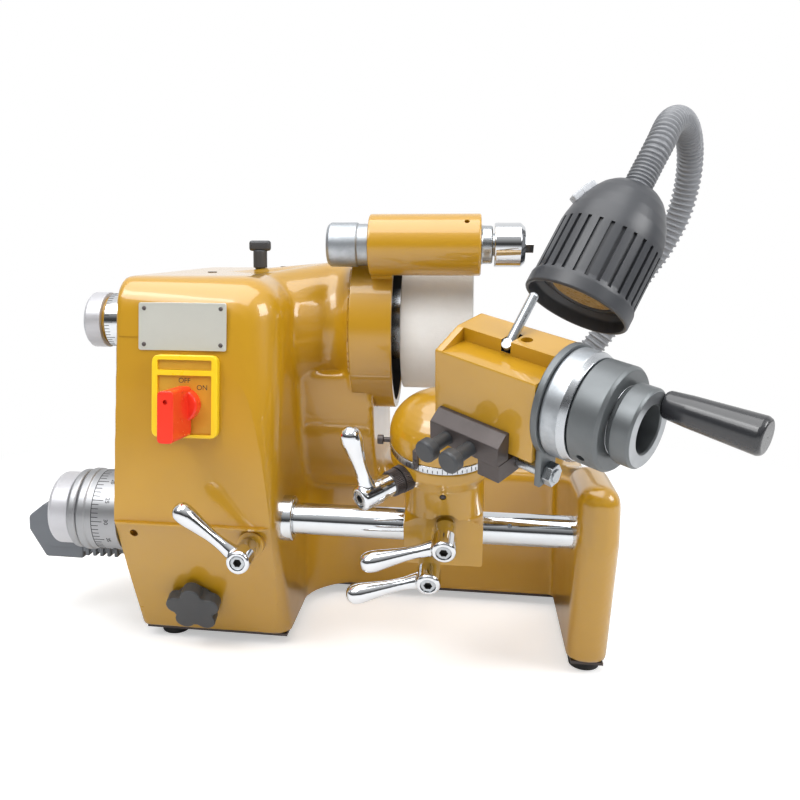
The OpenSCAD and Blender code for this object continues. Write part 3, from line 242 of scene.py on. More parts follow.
@dataclass(frozen=True)
class Seat:
    """A place on the machine with its own axes, in which pieces are drawn in millimetres."""

    matrix: Matrix

    @classmethod
    def at(cls, x: float = 0.0, y: float = 0.0, z: float = 0.0) -> "Seat":
        """Gives an upright seat at a point in millimetres."""
        return cls(Matrix.Translation((x, y, z)))

    @classmethod
    def on_joint(cls, name: str, along: Sequence[float], up: Sequence[float]) -> "Seat":
        """Gives a seat on a joint of the packed model.

        Args:
            name: Name of the joint.
            along: Direction of the seat's X axis.
            up: Direction near the seat's Z axis.

        Returns:
            The seat.
        """
        x = Vector(along).normalized()
        y = Vector(up).cross(x).normalized()
        turn = Matrix((x, y, x.cross(y))).transposed().to_4x4()
        return cls(Matrix.Translation(Vector(joint_named(name)["pos_m"]) / METRES) @ turn)

    def moved(self, x: float = 0.0, y: float = 0.0, z: float = 0.0) -> "Seat":
        """Gives this seat moved along its own axes."""
        return Seat(self.matrix @ Matrix.Translation((x, y, z)))

    def turned(self, axis: str, degrees: float) -> "Seat":
        """Gives this seat turned about one of its own axes."""
        return Seat(self.matrix @ Matrix.Rotation(math.radians(degrees), 4, axis))

    def upright(self) -> "Seat":
        """Gives this seat with X turned to point up its Z axis."""
        return self.turned("Y", -90)

    def facing(self) -> "Seat":
        """Gives this seat with X turned to the front, Y to the right."""
        return self.turned("Z", -90)

    def placed(self) -> Matrix:
        """Gives the matrix from millimetres in this seat to metres on the machine."""
        return Matrix.Scale(METRES, 4) @ self.matrix


def joint_axis(name: str) -> Vector:
    """Gives the axis of a joint of the packed model."""
    return Vector(joint_named(name)["axis"])


FLOOR = Seat.at()
SPINDLE = Seat.on_joint("wheel_spin", (1, 0, 0), (0, 0, 1))
BAR = Seat.at(0, *Seat.on_joint("bar_swing", (1, 0, 0), (0, 0, 1)).matrix.translation[1:])
ARM = Seat.on_joint("workhead_swivel", (1, 0, 0), joint_axis("workhead_swivel")).moved(z=-71)
HEAD = Seat.on_joint("work_spin", joint_axis("work_spin"), joint_axis("workhead_swivel"))
HANDLE = HEAD.turned("X", 30).moved(y=18)
FRONT = Seat.at(0, -120, 109).turned("X", -4.5)
UNDERCUT = Seat.at(0, -75, 10).turned("X", 24.44)
DRESSER = SPINDLE.turned("X", 42.5).moved(z=85.5)
LAMP = Seat.at(187.5, -39, 341).turned("Z", 35.5).turned("Y", 33).moved(z=-98)
QUILL_LOCK = SPINDLE.moved(-95.5).upright()
BAR_CLAMP = Seat.at(-74, -120, 96.5)
SWIVEL_CLAMP = ARM.turned("Z", -45).moved(0, -40, 56)
STAR = UNDERCUT.moved(-123, 0, 35).facing()

# Sizes that several sub-assemblies share
HOOD_X, HOOD_R = -14.0, 66.0
BAR_R, SLEEVE_R = 11.0, 16.0
STUD_HOLE = 4.1
FIT, BAR_FIT = 0.05, 0.06


class Paint(Enum):
    """Every finish on the machine."""

    # Enamel sprayed on filled and sanded cast iron: deep gloss over faint orange peel
    ENAMEL = Finish("sprayed_enamel_on_cast_iron", "#BD8F17", "#B48512", 0.32, 0.05, 60, 1.8, 0.01,
                    coat=0.8, coat_roughness=0.05, coat_ior=1.55)
    # Chrome plate on a buffed casting: a clear mirror with faint hand marks
    CHROME = Finish("buffed_chrome_plate", "#E3E5E8", "#D2D5D9", 0.07, 0.04, 14, 6.0, 0.006,
                    metallic=1.0)
    # Ground and chromed bar: a mirror drawn out into fine rings
    BAR_STEEL = TurnedFinish("ground_chromed_bar_steel", "#DDE0E3", "#CBCFD3", 0.1, 0.04, 25, 0.9,
                             0.002, metallic=1.0, seat=BAR)
    # Turned steel of the wheel spindle: grey mirror broken by tool rings
    SPINDLE_STEEL = TurnedFinish("turned_spindle_steel", "#C4C7CB", "#B2B6BA", 0.24, 0.06, 20, 0.8,
                                 0.006, metallic=1.0, seat=SPINDLE)
    # The same steel on the work spindle, with rings round its own axis
    HEAD_STEEL = TurnedFinish("turned_work_spindle_steel", "#C4C7CB", "#B2B6BA", 0.24, 0.06, 20,
                              0.8, 0.006, metallic=1.0, seat=HEAD)
    # Plain machined steel: dull silver with a fine scratch grain
    STEEL = Finish("milled_bright_steel", "#BFC3C7", "#A9AEB3", 0.28, 0.07, 12, 0.7, 0.006,
                   metallic=1.0)
    # Turned aluminium of the feed: grey satin with tool rings
    FEED_ALLOY = TurnedFinish("turned_satin_aluminium", "#AAABAD", "#9E9FA2", 0.42, 0.05, 25, 0.8,
                              0.004, metallic=1.0, seat=BAR)
    # Turned aluminium of the swivel ring: pale and brighter
    ARM_ALLOY = TurnedFinish("turned_ring_aluminium", "#D3D6D9", "#BFC3C8", 0.28, 0.06, 18, 0.7,
                             0.004, metallic=1.0, seat=ARM.upright())
    # Cast aluminium left from the mould: light grey, pitted and cloudy
    CAST_ALLOY = Finish("wire_brushed_cast_aluminium", "#C2C6CA", "#8F959B", 0.42, 0.1, 7, 1.6,
                        0.05, metallic=0.9)
    # Pearl lacquer sprayed on turned aluminium: soft white with a silver sheen
    PEARL = TurnedFinish("pearl_lacquered_aluminium", "#C6C6CA", "#BBBBC0", 0.36, 0.05, 30, 1.2,
                         0.004, metallic=0.35, coat=0.3, coat_roughness=0.15, seat=BAR)
    # Steel blackened in a hot bath: dark grey satin with tool rings
    BLACK_STEEL = TurnedFinish("turned_blackened_steel", "#727678", "#626668", 0.4, 0.06, 20, 0.9,
                               0.005, metallic=0.55, seat=HEAD)
    # Bare turned end of a blackened collar: pale grey rings
    COLLAR_END = TurnedFinish("faced_collar_steel", "#B4B7BA", "#9EA2A6", 0.34, 0.06, 10, 0.9,
                              0.006, metallic=0.8, seat=HEAD)
    # Milled steel browned in oil: brown-black with a dull sheen
    BROWNED = Finish("oil_browned_milled_steel", "#5A5352", "#453F3E", 0.42, 0.08, 16, 0.9, 0.008,
                     metallic=0.4)
    # Moulded rubber: black, matt and slightly dusty
    RUBBER = Finish("moulded_black_rubber", "#2A2A2B", "#343435", 0.8, 0.08, 10, 0.6, 0.02)
    # Phenolic moulding: black with a soft satin grain
    BLACK_PLASTIC = Finish("moulded_phenolic_plastic", "#434548", "#393B3E", 0.42, 0.05, 25, 0.9,
                           0.008)
    # The same moulding polished by hands: darker with a clear highlight
    HANDLE_PLASTIC = Finish("polished_phenolic_handle", "#313235", "#28292C", 0.24, 0.05, 25, 1.4,
                            0.004, coat=0.3)
    # Moulded knob of the switch: even red with a clean highlight
    RED_PLASTIC = Finish("moulded_red_polycarbonate", "#F03A24", "#E23019", 0.26, 0.04, 18, 1.2,
                         0.003)
    # Moulded frame of the switch: lemon yellow, a little duller
    SWITCH_YELLOW = Finish("moulded_yellow_polycarbonate", "#F2D024", "#EAC61C", 0.3, 0.04, 18, 1.2,
                           0.003)
    # Printed foil behind the switch: soft gold with a faint brushed drift
    GOLD_FOIL = Finish("gold_printed_foil", "#D9A93A", "#C9972B", 0.36, 0.05, 9, 0.5, 0.003,
                       metallic=0.3)
    # Nylon of the power connector: mid grey, finely eroded surface
    GREY_PLASTIC = Finish("moulded_grey_nylon", "#6E7278", "#63676C", 0.5, 0.05, 20, 0.8, 0.012)
    # Moulded lamp head: dark grey satin
    LAMP_GREY = Finish("moulded_lamp_polyamide", "#404246", "#383A3E", 0.38, 0.05, 30, 0.9, 0.008)
    # Extruded ribbed hose: light grey with a soft sheen
    HOSE_GREY = Finish("extruded_hose_polyamide", "#8B8D91", "#7D7F83", 0.42, 0.05, 14, 0.8, 0.006)
    # Moulded acetal rocker: pale, milky grey
    ROCKER = Finish("moulded_pale_acetal", "#C4C7CB", "#B7BABF", 0.4, 0.05, 12, 1.0, 0.004)
    # Faceted gilt reflector under frosted glass: amber cells with pale sparkle
    LENS = GritFinish("frosted_amber_reflector", "#C7A873", "#8F7040", 0.3, 0.08, 5, 3.2, 0.5,
                      coat=0.6, coat_roughness=0.2)
    # Vitrified white alumina: chalky, pale grains with open pores
    ABRASIVE = GritFinish("vitrified_white_alumina", "#F4F4F2", "#ECECEA", 0.92, 0.04, 8, 0.9, 0.12)
    # Rolled aluminium plate, lacquered: pale silver with a faint brushed drift
    PLATE = Finish("lacquered_rolled_aluminium", "#E6E6DC", "#DADAD0", 0.34, 0.05, 22, 0.6, 0.003,
                   metallic=0.55)
    # Painted shade: near black, matt, laid inside the hood, in the work head's slot and in socket
    # holes where shade falls
    PAINTED_SHADE = Finish("painted_shade_black", "#26241F", "#17161A", 0.85, 0.08, 9, 1.2, 0.04)
    # Line filler in engraved marks: matt black
    INK = Finish("black_line_filler", "#1E1F21", "#2B2C2E", 0.6, 0.05, 3, 0.4, 0.002)
    # Motor paint over a ribbed shell: flat grey
    MOTOR = Finish("stoved_motor_paint", "#4A4E52", "#404448", 0.5, 0.05, 25, 1.0, 0.01)

    def coat_node(self, *nodes: str) -> None:
        """Gives this finish to CAD nodes that show as they are.

        Args:
            *nodes: Names of the nodes.
        """
        for name in nodes:
            slots = frame["nodes"][name].data.materials
            slots.clear()
            slots.append(self.value.material())


# Meshes


def eased(points: Sequence[Point2], radius: float, closed: bool = False) -> list[Point2]:
    """Rounds the corners of a line.

    Args:
        points: Corners of the line.
        radius: Set-back of each round, cut down where the line is short.
        closed: Whether the last point runs on to the first.

    Returns:
        Points of the rounded line.
    """
    line = [Vector(p) for p in points]
    count = len(line)
    rounded: list[Point2] = []
    for i, corner in enumerate(line):
        if radius <= 0 or (not closed and i in (0, count - 1)):
            rounded.append(tuple(corner))
            continue
        before, after = line[i - 1] - corner, line[(i + 1) % count] - corner
        back = min(radius, before.length * 0.45, after.length * 0.45)
        start, end = corner + before.normalized() * back, corner + after.normalized() * back
        for t in (0.0, 0.33, 0.67, 1.0):
            rounded.append(tuple(start * (1 - t) ** 2 + corner * 2 * t * (1 - t) + end * t * t))
    return rounded


def panel(width: float, height: float, radius: float) -> list[Point2]:
    """Gives the outline of a rectangle with round corners, about its middle."""
    w, h = width / 2, height / 2
    return eased([(-w, -h), (w, -h), (w, h), (-w, h)], radius * 1.3, True)


def arc(centre: Point2, radius: float, start: float, end: float, steps: int = 12) -> list[Point2]:
    """Gives the points of an arc between two angles in degrees."""
    angles = [math.radians(start + (end - start) * i / steps) for i in range(steps + 1)]
    return [(centre[0] + radius * math.cos(a), centre[1] + radius * math.sin(a)) for a in angles]


class Shape:
    """A mesh in millimetres that bmesh operators build up."""

    def __init__(self) -> None:
        """Starts empty."""
        self.mesh = bmesh.new()

    def turn(self, profile: Sequence[Point2], ease: float = 0.6, closed: bool = False,
             steps: int = 72) -> "Shape":
        """Turns a profile about X.

        Args:
            profile: Points of place along X and radius.
            ease: Size of the rounds on its corners.
            closed: Whether the profile is a ring, as on a tube.
            steps: Faces round the axis.

        Returns:
            This shape.
        """
        points = [self.mesh.verts.new((x, r, 0)) for x, r in eased(profile, ease, closed)]
        pairs = list(zip(points, points[1:])) + ([(points[-1], points[0])] if closed else [])
        edges = [self.mesh.edges.new(pair) for pair in pairs]
        bmesh.ops.spin(self.mesh, geom=points + edges, axis=(1, 0, 0), cent=(0, 0, 0),
                       angle=math.tau, steps=steps, use_merge=True)
        return self.mend()

    def tube(self, x0: float, x1: float, radius: float, bore: float, ease: float = 0.6,
             steps: int = 72) -> "Shape":
        """Turns a tube along X."""
        return self.turn([(x0, bore), (x0, radius), (x1, radius), (x1, bore)], ease, True, steps)

    def rod(self, x0: float, x1: float, radius: float, ease: float = 0.6,
            steps: int = 72) -> "Shape":
        """Turns a solid rod along X."""
        return self.turn([(x0, 0), (x0, radius), (x1, radius), (x1, 0)], ease, False, steps)

    def block(self, low: Point3, high: Point3) -> "Shape":
        """Adds a block between two corners.

        Args:
            low: Corner with the least coordinates.
            high: Corner with the greatest coordinates.

        Returns:
            This shape.
        """
        low_v, high_v = Vector(low), Vector(high)
        size = Matrix.Diagonal((*(high_v - low_v), 1))
        bmesh.ops.create_cube(self.mesh, size=1,
                              matrix=Matrix.Translation((low_v + high_v) / 2) @ size)
        return self

    def prism(self, outline: Sequence[Point2], x0: float, x1: float) -> "Shape":
        """Draws an outline of Y and Z out along X.

        Args:
            outline: Points of the outline.
            x0: Where it starts.
            x1: Where it ends.

        Returns:
            This shape.
        """
        face = self.mesh.faces.new([self.mesh.verts.new((x0, y, z)) for y, z in outline])
        grown = bmesh.ops.extrude_face_region(self.mesh, geom=[face])["geom"]
        bmesh.ops.translate(self.mesh, vec=(x1 - x0, 0, 0),
                            verts=[g for g in grown if isinstance(g, bmesh.types.BMVert)])
        return self.mend()

    def wrap(self, balls: Sequence[Round] = (), discs: Sequence[Round] = (),
             rolls: Sequence[Round] = ()) -> "Shape":
        """Wraps a skin tightly round balls, flat discs and rolls.

        Args:
            balls: Centre and radius of each ball.
            discs: Centre and radius of each level disc.
            rolls: Centre and radius of each disc that stands across X.

        Returns:
            This shape.
        """
        cloud = bmesh.new()
        for centre, radius in balls:
            bmesh.ops.create_uvsphere(cloud, u_segments=40, v_segments=20, radius=radius,
                                      matrix=Matrix.Translation(centre))
        for centre, radius in discs:
            bmesh.ops.create_circle(cloud, segments=40, radius=radius,
                                    matrix=Matrix.Translation(centre))
        for centre, radius in rolls:
            bmesh.ops.create_circle(cloud, segments=72, radius=radius,
                                    matrix=Seat.at(*centre).turned("Y", 90).matrix)
        skin = Shape()
        for vert in cloud.verts:
            skin.mesh.verts.new(vert.co)
        cloud.free()
        bmesh.ops.convex_hull(skin.mesh, input=skin.mesh.verts[:])
        loose = [v for v in skin.mesh.verts if not v.link_faces]
        bmesh.ops.delete(skin.mesh, geom=loose, context="VERTS")
        return self.join(skin)

    def mend(self) -> "Shape":
        """Closes seams and poles and points the faces outwards.

        Returns:
            This shape.
        """
        bmesh.ops.remove_doubles(self.mesh, verts=self.mesh.verts[:], dist=0.0005)
        bmesh.ops.recalc_face_normals(self.mesh, faces=self.mesh.faces[:])
        return self

    def soften(self, width: float, segments: int = 2, angle: float = 30.0) -> "Shape":
        """Bevels the edges that turn by more than an angle.

        Args:
            width: Width of the bevel.
            segments: Faces across the bevel.
            angle: Least angle in degrees.

        Returns:
            This shape.
        """
        edges = [e for e in self.mesh.edges
                 if len(e.link_faces) == 2 and e.calc_face_angle(0) > math.radians(angle)]
        bmesh.ops.bevel(self.mesh, geom=edges, offset=width, offset_type="OFFSET",
                        segments=segments, profile=0.5, affect="EDGES", material=-1,
                        clamp_overlap=True)
        return self

    def move(self, seat: Seat) -> "Shape":
        """Moves the mesh into a seat, still in millimetres.

        Args:
            seat: Seat that the mesh moves into.

        Returns:
            This shape.
        """
        bmesh.ops.transform(self.mesh, matrix=seat.matrix, verts=self.mesh.verts[:])
        return self

    def join(self, other: "Shape", seat: Seat | None = None) -> "Shape":
        """Takes in another shape, moved into a seat where one is given.

        Args:
            other: Shape that is used up.
            seat: Seat that it moves into.

        Returns:
            This shape.
        """
        draft = bpy.data.meshes.new("draft")
        other.mesh.to_mesh(draft)
        other.mesh.free()
        if seat:
            draft.transform(seat.matrix)
        self.mesh.from_mesh(draft)
        bpy.data.meshes.remove(draft)
        return self

    def words(self, text: str, size: float, seat: Seat, depth: float = 0.1) -> "Shape":
        """Adds raised letters that stand in a seat's Y and Z plane and face along its X.

        Args:
            text: Letters.
            size: Height of a line.
            seat: Middle and direction of the letters.
            depth: How far they stand out each way.

        Returns:
            This shape.
        """
        curve = bpy.data.curves.new("draft", "FONT")
        curve.body, curve.size, curve.extrude = text, size, depth
        curve.align_x, curve.align_y = "CENTER", "CENTER"
        holder = bpy.data.objects.new("draft", curve)
        letters = bpy.data.meshes.new_from_object(holder)
        bpy.data.objects.remove(holder)
        bpy.data.curves.remove(curve)
        stand = Matrix(((0, 0, 1, 0), (1, 0, 0, 0), (0, 1, 0, 0), (0, 0, 0, 1)))
        letters.transform(seat.matrix @ stand)
        self.mesh.from_mesh(letters)
        bpy.data.meshes.remove(letters)
        return self

    def through(self, kind: str, tools: Sequence["Shape"] = (), **settings: object) -> "Shape":
        """Runs the mesh through one modifier and keeps the result.

        Args:
            kind: Modifier type.
            tools: Shapes that a Boolean cuts away.
            **settings: Settings of the modifier.

        Returns:
            This shape.
        """
        bench = bpy.data.collections.new("bench")
        holders = []
        for shape in (self, *tools):
            draft = bpy.data.meshes.new("draft")
            shape.mesh.to_mesh(draft)
            holders.append(bpy.data.objects.new("draft", draft))
        bpy.context.scene.collection.objects.link(holders[0])
        for holder in holders[1:]:
            bench.objects.link(holder)
        modifier = holders[0].modifiers.new(kind, kind)
        if tools:
            modifier.operand_type, modifier.collection = "COLLECTION", bench
        for key, value in settings.items():
            setattr(modifier, key, value)
        graph = bpy.context.evaluated_depsgraph_get()
        result = bpy.data.meshes.new_from_object(holders[0].evaluated_get(graph))
        self.mesh.clear()
        self.mesh.from_mesh(result)
        for shape in tools:
            shape.mesh.free()
        for mesh in [result, *[h.data for h in holders]]:
            bpy.data.meshes.remove(mesh)
        bpy.data.collections.remove(bench)
        return self

    def melt(self, grain: float, rounds: int) -> "Shape":
        """Runs shapes that overlap into one skin with cast fillets.

        Args:
            grain: Size of the remeshed faces.
            rounds: Rounds of smoothing, which widen the fillets.

        Returns:
            This shape.
        """
        self.through("REMESH", mode="VOXEL", voxel_size=grain, adaptivity=0.0)
        if rounds:
            self.through("SMOOTH", factor=0.5, iterations=rounds)
        return self

    def cut(self, *tools: "Shape") -> "Shape":
        """Cuts closed shapes away."""
        return self.through("BOOLEAN", tools, operation="DIFFERENCE", solver="EXACT")

    def paint(self, index: int, test: Test) -> "Shape":
        """Gives a finish to the faces that a test picks by middle and direction.

        Args:
            index: Number of the finish.
            test: Whether a face with this middle and direction is picked.

        Returns:
            This shape.
        """
        self.mesh.normal_update()
        for face in self.mesh.faces:
            if test(face.calc_center_median(), face.normal):
                face.material_index = index
        return self

    def piece(self, name: str, seat: Seat, body: str, slot: str, paints: Sequence[Paint],
              replaces: Sequence[str] = (), sharp: float = 35.0) -> bpy.types.Object:
        """Finishes the mesh as a piece of the machine.

        Args:
            name: Name of the piece.
            seat: Seat that the mesh is drawn in.
            body: Body that the piece rides on.
            slot: Material slot of the record.
            paints: Finishes in the order of the faces' numbers.
            replaces: CAD nodes that the piece stands for.
            sharp: Angle in degrees above which an edge stays crisp.

        Returns:
            The piece.
        """
        bmesh.ops.transform(self.mesh, matrix=seat.placed(), verts=self.mesh.verts[:])
        mesh = bpy.data.meshes.new(name)
        self.mesh.to_mesh(mesh)
        self.mesh.free()
        mesh.shade_smooth()
        mesh.set_sharp_from_angle(angle=math.radians(sharp))
        for paint in paints:
            mesh.materials.append(paint.value.material())
        made = shown(name, mesh)
        normals = made.modifiers.new("Weighted normals", "WEIGHTED_NORMAL")
        normals.keep_sharp = True
        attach(made, body)
        if replaces:
            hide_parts(*replaces)
        log.info("%s: %d faces on %s", name, len(mesh.polygons), body)
        return made


def bore(seat: Seat, start: float, end: float, radius: float, steps: int = 72) -> Shape:
    """Draws a plain rod along a seat's X, to be cut out as a hole."""
    return Shape().rod(start, end, radius, 0, steps).move(seat)


def off_axis(point: Vector) -> float:
    """Gives how far a point lies from X."""
    return point.yz.length


def hexagon(radius: float) -> list[Point2]:
    """Gives the outline of a hexagon about a middle."""
    return arc((0, 0), radius, 0, 300, 5)


def knurled(radius: float, teeth: int, deep: float = 0.5) -> list[Point2]:
    """Gives the outline of a straight knurl round a middle.

    Args:
        radius: Radius over the teeth.
        teeth: Number of teeth.
        deep: Depth of the gaps.

    Returns:
        Points of the outline.
    """
    ring = arc((0, 0), 1.0, 0, 360 - 180 / teeth, 2 * teeth - 1)
    radii = [radius - deep * (i % 2) for i in range(2 * teeth)]
    return [(y * r, z * r) for (y, z), r in zip(ring, radii)]


def marks(count: int, radius: float, x: float, short: float, tall: float, every: int,
          width: float = 0.5, sweep: float = 360.0) -> Shape:
    """Draws the filled lines of a dial round X.

    Args:
        count: Number of lines.
        radius: Radius of the dial.
        x: Edge of the dial that the lines start from.
        short: Length of a plain line.
        tall: Length of each numbered line.
        every: Plain lines from one numbered line to the next.
        width: Width of a line.
        sweep: Angle that the lines cover, in degrees.

    Returns:
        The lines as one shape.
    """
    lines = Shape()
    for i in range(count):
        length = tall if i % every == 0 else short
        turn = Matrix.Rotation(math.radians(sweep * i / count), 4, "X")
        size = Matrix.Diagonal((length, 0.2, width, 1))
        bmesh.ops.create_cube(lines.mesh, size=1,
                              matrix=turn @ Matrix.Translation((x + length / 2, radius, 0)) @ size)
    return lines


# Sub-assemblies


@dataclass
class Casting:
    """Column, rear body, pillar, neck and pedestal, poured as one, with feet and set screws."""

    left: float = -172.5
    right: float = 172.5
    front: float = -120.0
    back: float = 120.0
    floor: float = 10.0
    crease: float = 109.0
    edge: float = 12.0
    crisp: float = 3.0
    column_right: float = -56.5
    column_foot: float = -75.0
    column_top: float = 280.0
    top_front: float = -86.2
    top_edge: float = 22.0
    deck: float = 118.0
    rear_front: float = 25.0
    pillar_left: float = 144.5
    pillar_top: float = 146.0
    pillar_foot: float = -84.0
    pillar_back: float = -53.0
    wall: float = 10.0
    neck_start: float = -143.5
    neck_small: float = 39.0
    neck_large: float = 49.5
    shoulder: float = 32.0
    web: Round = ((-104, -52, -4), 42.0)
    web_end: Point3 = (-34, 0, 0)
    pedestal_end: float = 2.0
    pedestal_front: float = -46.0
    pedestal_back: float = 84.0
    pedestal_heel: float = 108.0
    pedestal_top: float = 205.0
    pedestal_low: float = 100.0
    pedestal_hollow: float = 71.0
    skin: float = 2.3
    fillet_rounds: int = 5
    feet: tuple[Point2, ...] = ((-152.5, -55), (-152.5, 100), (158.5, -64), (152.5, 100))
    set_screws: tuple[Point3, ...] = ((-129.5, -20, 280.1), (-75, 0, 283.9))

    def column(self, inset: float = 0.0, top: float | None = None, low: float = 0.0,
               proud: float = 0.0) -> Shape:
        """Draws the column, or the hollow inside it when it is drawn in by a wall.

        Args:
            inset: How far every side is drawn in.
            top: Height of the top, if it isn't the column's own.
            low: How far the foot goes below the floor.
            proud: How far the crease stands out, to be trimmed later.

        Returns:
            The solid.
        """
        c, e, t = self.crisp, self.edge, self.top_edge
        x0, x1 = self.left + inset, self.column_right - inset
        z = (top or self.column_top) - t
        discs: list[Round] = []
        for x, r in ((x0 + c, c), (x1 - e, e)):
            discs += [((x, y, self.floor - low), r)
                      for y in (self.column_foot + inset + r, self.back - inset - r)]
            discs.append(((x, self.front + inset + r - proud, self.crease), r))
        ends = ((x0, t - c), (x0 + 0.3 * c, t - 0.3 * c), (x0 + c, t))
        far_ends = ((x1 - e, t), (x1 - e / 2, t - 0.8), (x1 - e / 6, t - 2), (x1, t - c - 1))
        y_back = self.back - inset - t
        rolls = [((x, y, z), r) for y in (self.top_front + inset, y_back) for x, r in ends]
        rolls += [((x, y_back, z), r) for x, r in far_ends]
        big = self.shoulder
        soft = ((x1 - big, self.top_front + inset + big - t + 1.0, z + t - big), big)
        return Shape().wrap([soft], discs, rolls)

    def rear(self) -> Shape:
        """Draws the low body behind.

        Returns:
            The solid.
        """
        e = self.edge
        corners = [(x, y) for x in (self.left + e, self.right - e)
                   for y in (self.rear_front + e, self.back - e)]
        return Shape().wrap([((x, y, self.deck - e), e) for x, y in corners],
                            [((x, y, self.floor), e) for x, y in corners])

    def pillar(self) -> Shape:
        """Draws the pillar that holds the far end of the bar.

        Returns:
            The solid.
        """
        e = self.edge
        xs = (self.pillar_left + e, self.right - e)
        heights = [(self.front + e, self.crease), (self.front + e, self.pillar_top - e),
                   (self.pillar_back - e, self.pillar_top - e),
                   (self.rear_front + 14, self.deck - e)]
        return Shape().wrap([((x, y, z), e) for x in xs for y, z in heights],
                            [((x, y, self.floor), e) for x in xs
                             for y in (self.pillar_foot + e, self.rear_front + 14)])

    def corner(self) -> Shape:
        """Draws the hollow corner between the column and the rear body.

        Returns:
            The solid.
        """
        x, y, r = self.column_right - 1, self.rear_front + 1, 45.0
        bow = arc((x + r, y - r), r, 180, 90)
        return Shape().prism([(q, -p) for p, q in [(x, y), *bow]], self.floor,
                             self.deck - self.edge).move(FLOOR.upright())

    def neck(self) -> Shape:
        """Draws the neck that flares to the hood.

        Returns:
            The solid, in its place.
        """
        flare = HOOD_R - self.neck_large
        bow = arc((HOOD_X - flare, HOOD_R), flare, -90, 0)
        neck = Shape().turn([(self.neck_start, 0), (self.neck_start, self.neck_small), *bow,
                             (HOOD_X, 0)], 0)
        web = Shape().wrap(rolls=[self.web, (self.web_end, self.neck_large)])
        return neck.join(web).move(SPINDLE)

    def pedestal(self) -> Shape:
        """Draws the hollow-fronted foot of the neck.

        Returns:
            The solid.
        """
        y, top, low = self.pedestal_front, self.pedestal_top, self.pedestal_low
        bow = [(y + self.pedestal_hollow * (1 - math.cos(a)), top - (top - low) * math.sin(a))
               for a in (math.radians(d) for d in range(6, 91, 6))]
        return Shape().prism([(self.pedestal_back, top), (y, top), *bow, (self.pedestal_heel, low)],
                             self.column_right - self.wall, self.pedestal_end)

    def hollows(self) -> list[Shape]:
        """Draws what is cored and bored out of the casting.

        Returns:
            The solids to be cut away.
        """
        x = self.column_right - 2 * self.wall
        return [
            self.column(self.wall, 188, 1),
            # Motor room, belt way and pulley room
            Shape().block((x, 35, self.floor - 1), (162.5, 110, 108)),
            Shape().block((x, 35, 59), (-8, 64, 160)),
            bore(SPINDLE, -156, -118, 26.5),
            Shape().block((-156, -26.5, 170), (-118, 56, 239)),
            # Seat of the hood, bores of the quill and its knob, hole of its lock
            bore(SPINDLE, HOOD_X, 18, HOOD_R + FIT, 128),
            bore(SPINDLE, -150, -13, 24 + FIT),
            bore(SPINDLE, -174, -149, 9.7),
            bore(QUILL_LOCK, 0, 60, STUD_HOLE, 32),
            # Feed sleeve, far end of the bar and bar clamp
            bore(BAR, -174, -55, SLEEVE_R + FIT),
            bore(BAR, self.pillar_left - 1, 166.5, BAR_R + 0.3),
            bore(BAR_CLAMP.facing(), -30, 10, STUD_HOLE, 32),
            # Switch, belt tensioner and the small hole at the left of the crease
            Shape().block((-137.5, -12, 71.6), (-101.5, 30, 107.6)).move(FRONT),
            bore(STAR, -21, 12, STUD_HOLE, 32),
            bore(Seat.at(-160, -116, 99).facing(), -8, 12, 2.9, 32),
        ]

    def build(self) -> None:
        """Builds the casting and what is screwed to it."""
        body = self.column(proud=4.0)
        for part in (self.rear(), self.pillar(), self.corner(), self.neck(), self.pedestal()):
            body.join(part)
        trims = []
        for seat, low, high in ((FRONT, 0, 130), (UNDERCUT, -12, 108.75)):
            trim = Shape().block((self.left - 5, -30, low), (self.column_right + 2, 0, high))
            trims.append(trim.move(seat))
        body.melt(self.skin, self.fillet_rounds).cut(*trims, *self.hollows())
        boss = Shape().rod(-15, 0, 9.5, 0.8, 48).cut(bore(FLOOR, -16, 1, STUD_HOLE, 32))
        boss.piece("bar_clamp_boss", BAR_CLAMP.facing(), "base", "yellow_casting", [Paint.ENAMEL])
        body.piece("casting", FLOOR, "base", "yellow_casting", [Paint.ENAMEL], ["base_casting"])
        feet = Shape()
        for x, y in self.feet:
            feet.join(Shape().turn([(0, 5.3), (0, 10.5), (8, 12), (8, 3.3), (4, 3.3), (4, 5.3)],
                                   0.8, True, 48), Seat.at(x, y, 0).upright())
        feet.piece("rubber_feet", FLOOR, "base", "rubber", [Paint.RUBBER], ["feet"])
        screws = Shape()
        for x, y, z in self.set_screws:
            screws.join(Shape().turn([(-4, 0), (-4, 3.6), (0.4, 3.6), (0.4, 1.9), (-2, 1.9),
                                      (-2, 0)], 0.2, False, 36), Seat.at(x, y, z).upright())
        screws.piece("set_screws", FLOOR, "base", "black_steel", [Paint.BROWNED])
        Paint.BROWNED.coat_node("bottom_cover")
        Paint.STEEL.coat_node("foot_screws", "motor_bracket", "motor_shaft")
        Paint.MOTOR.coat_node("motor_body", "switch_body")
        Paint.CAST_ALLOY.coat_node("motor_pulley", "spindle_pulley")
        Paint.RUBBER.coat_node("drive_belt")


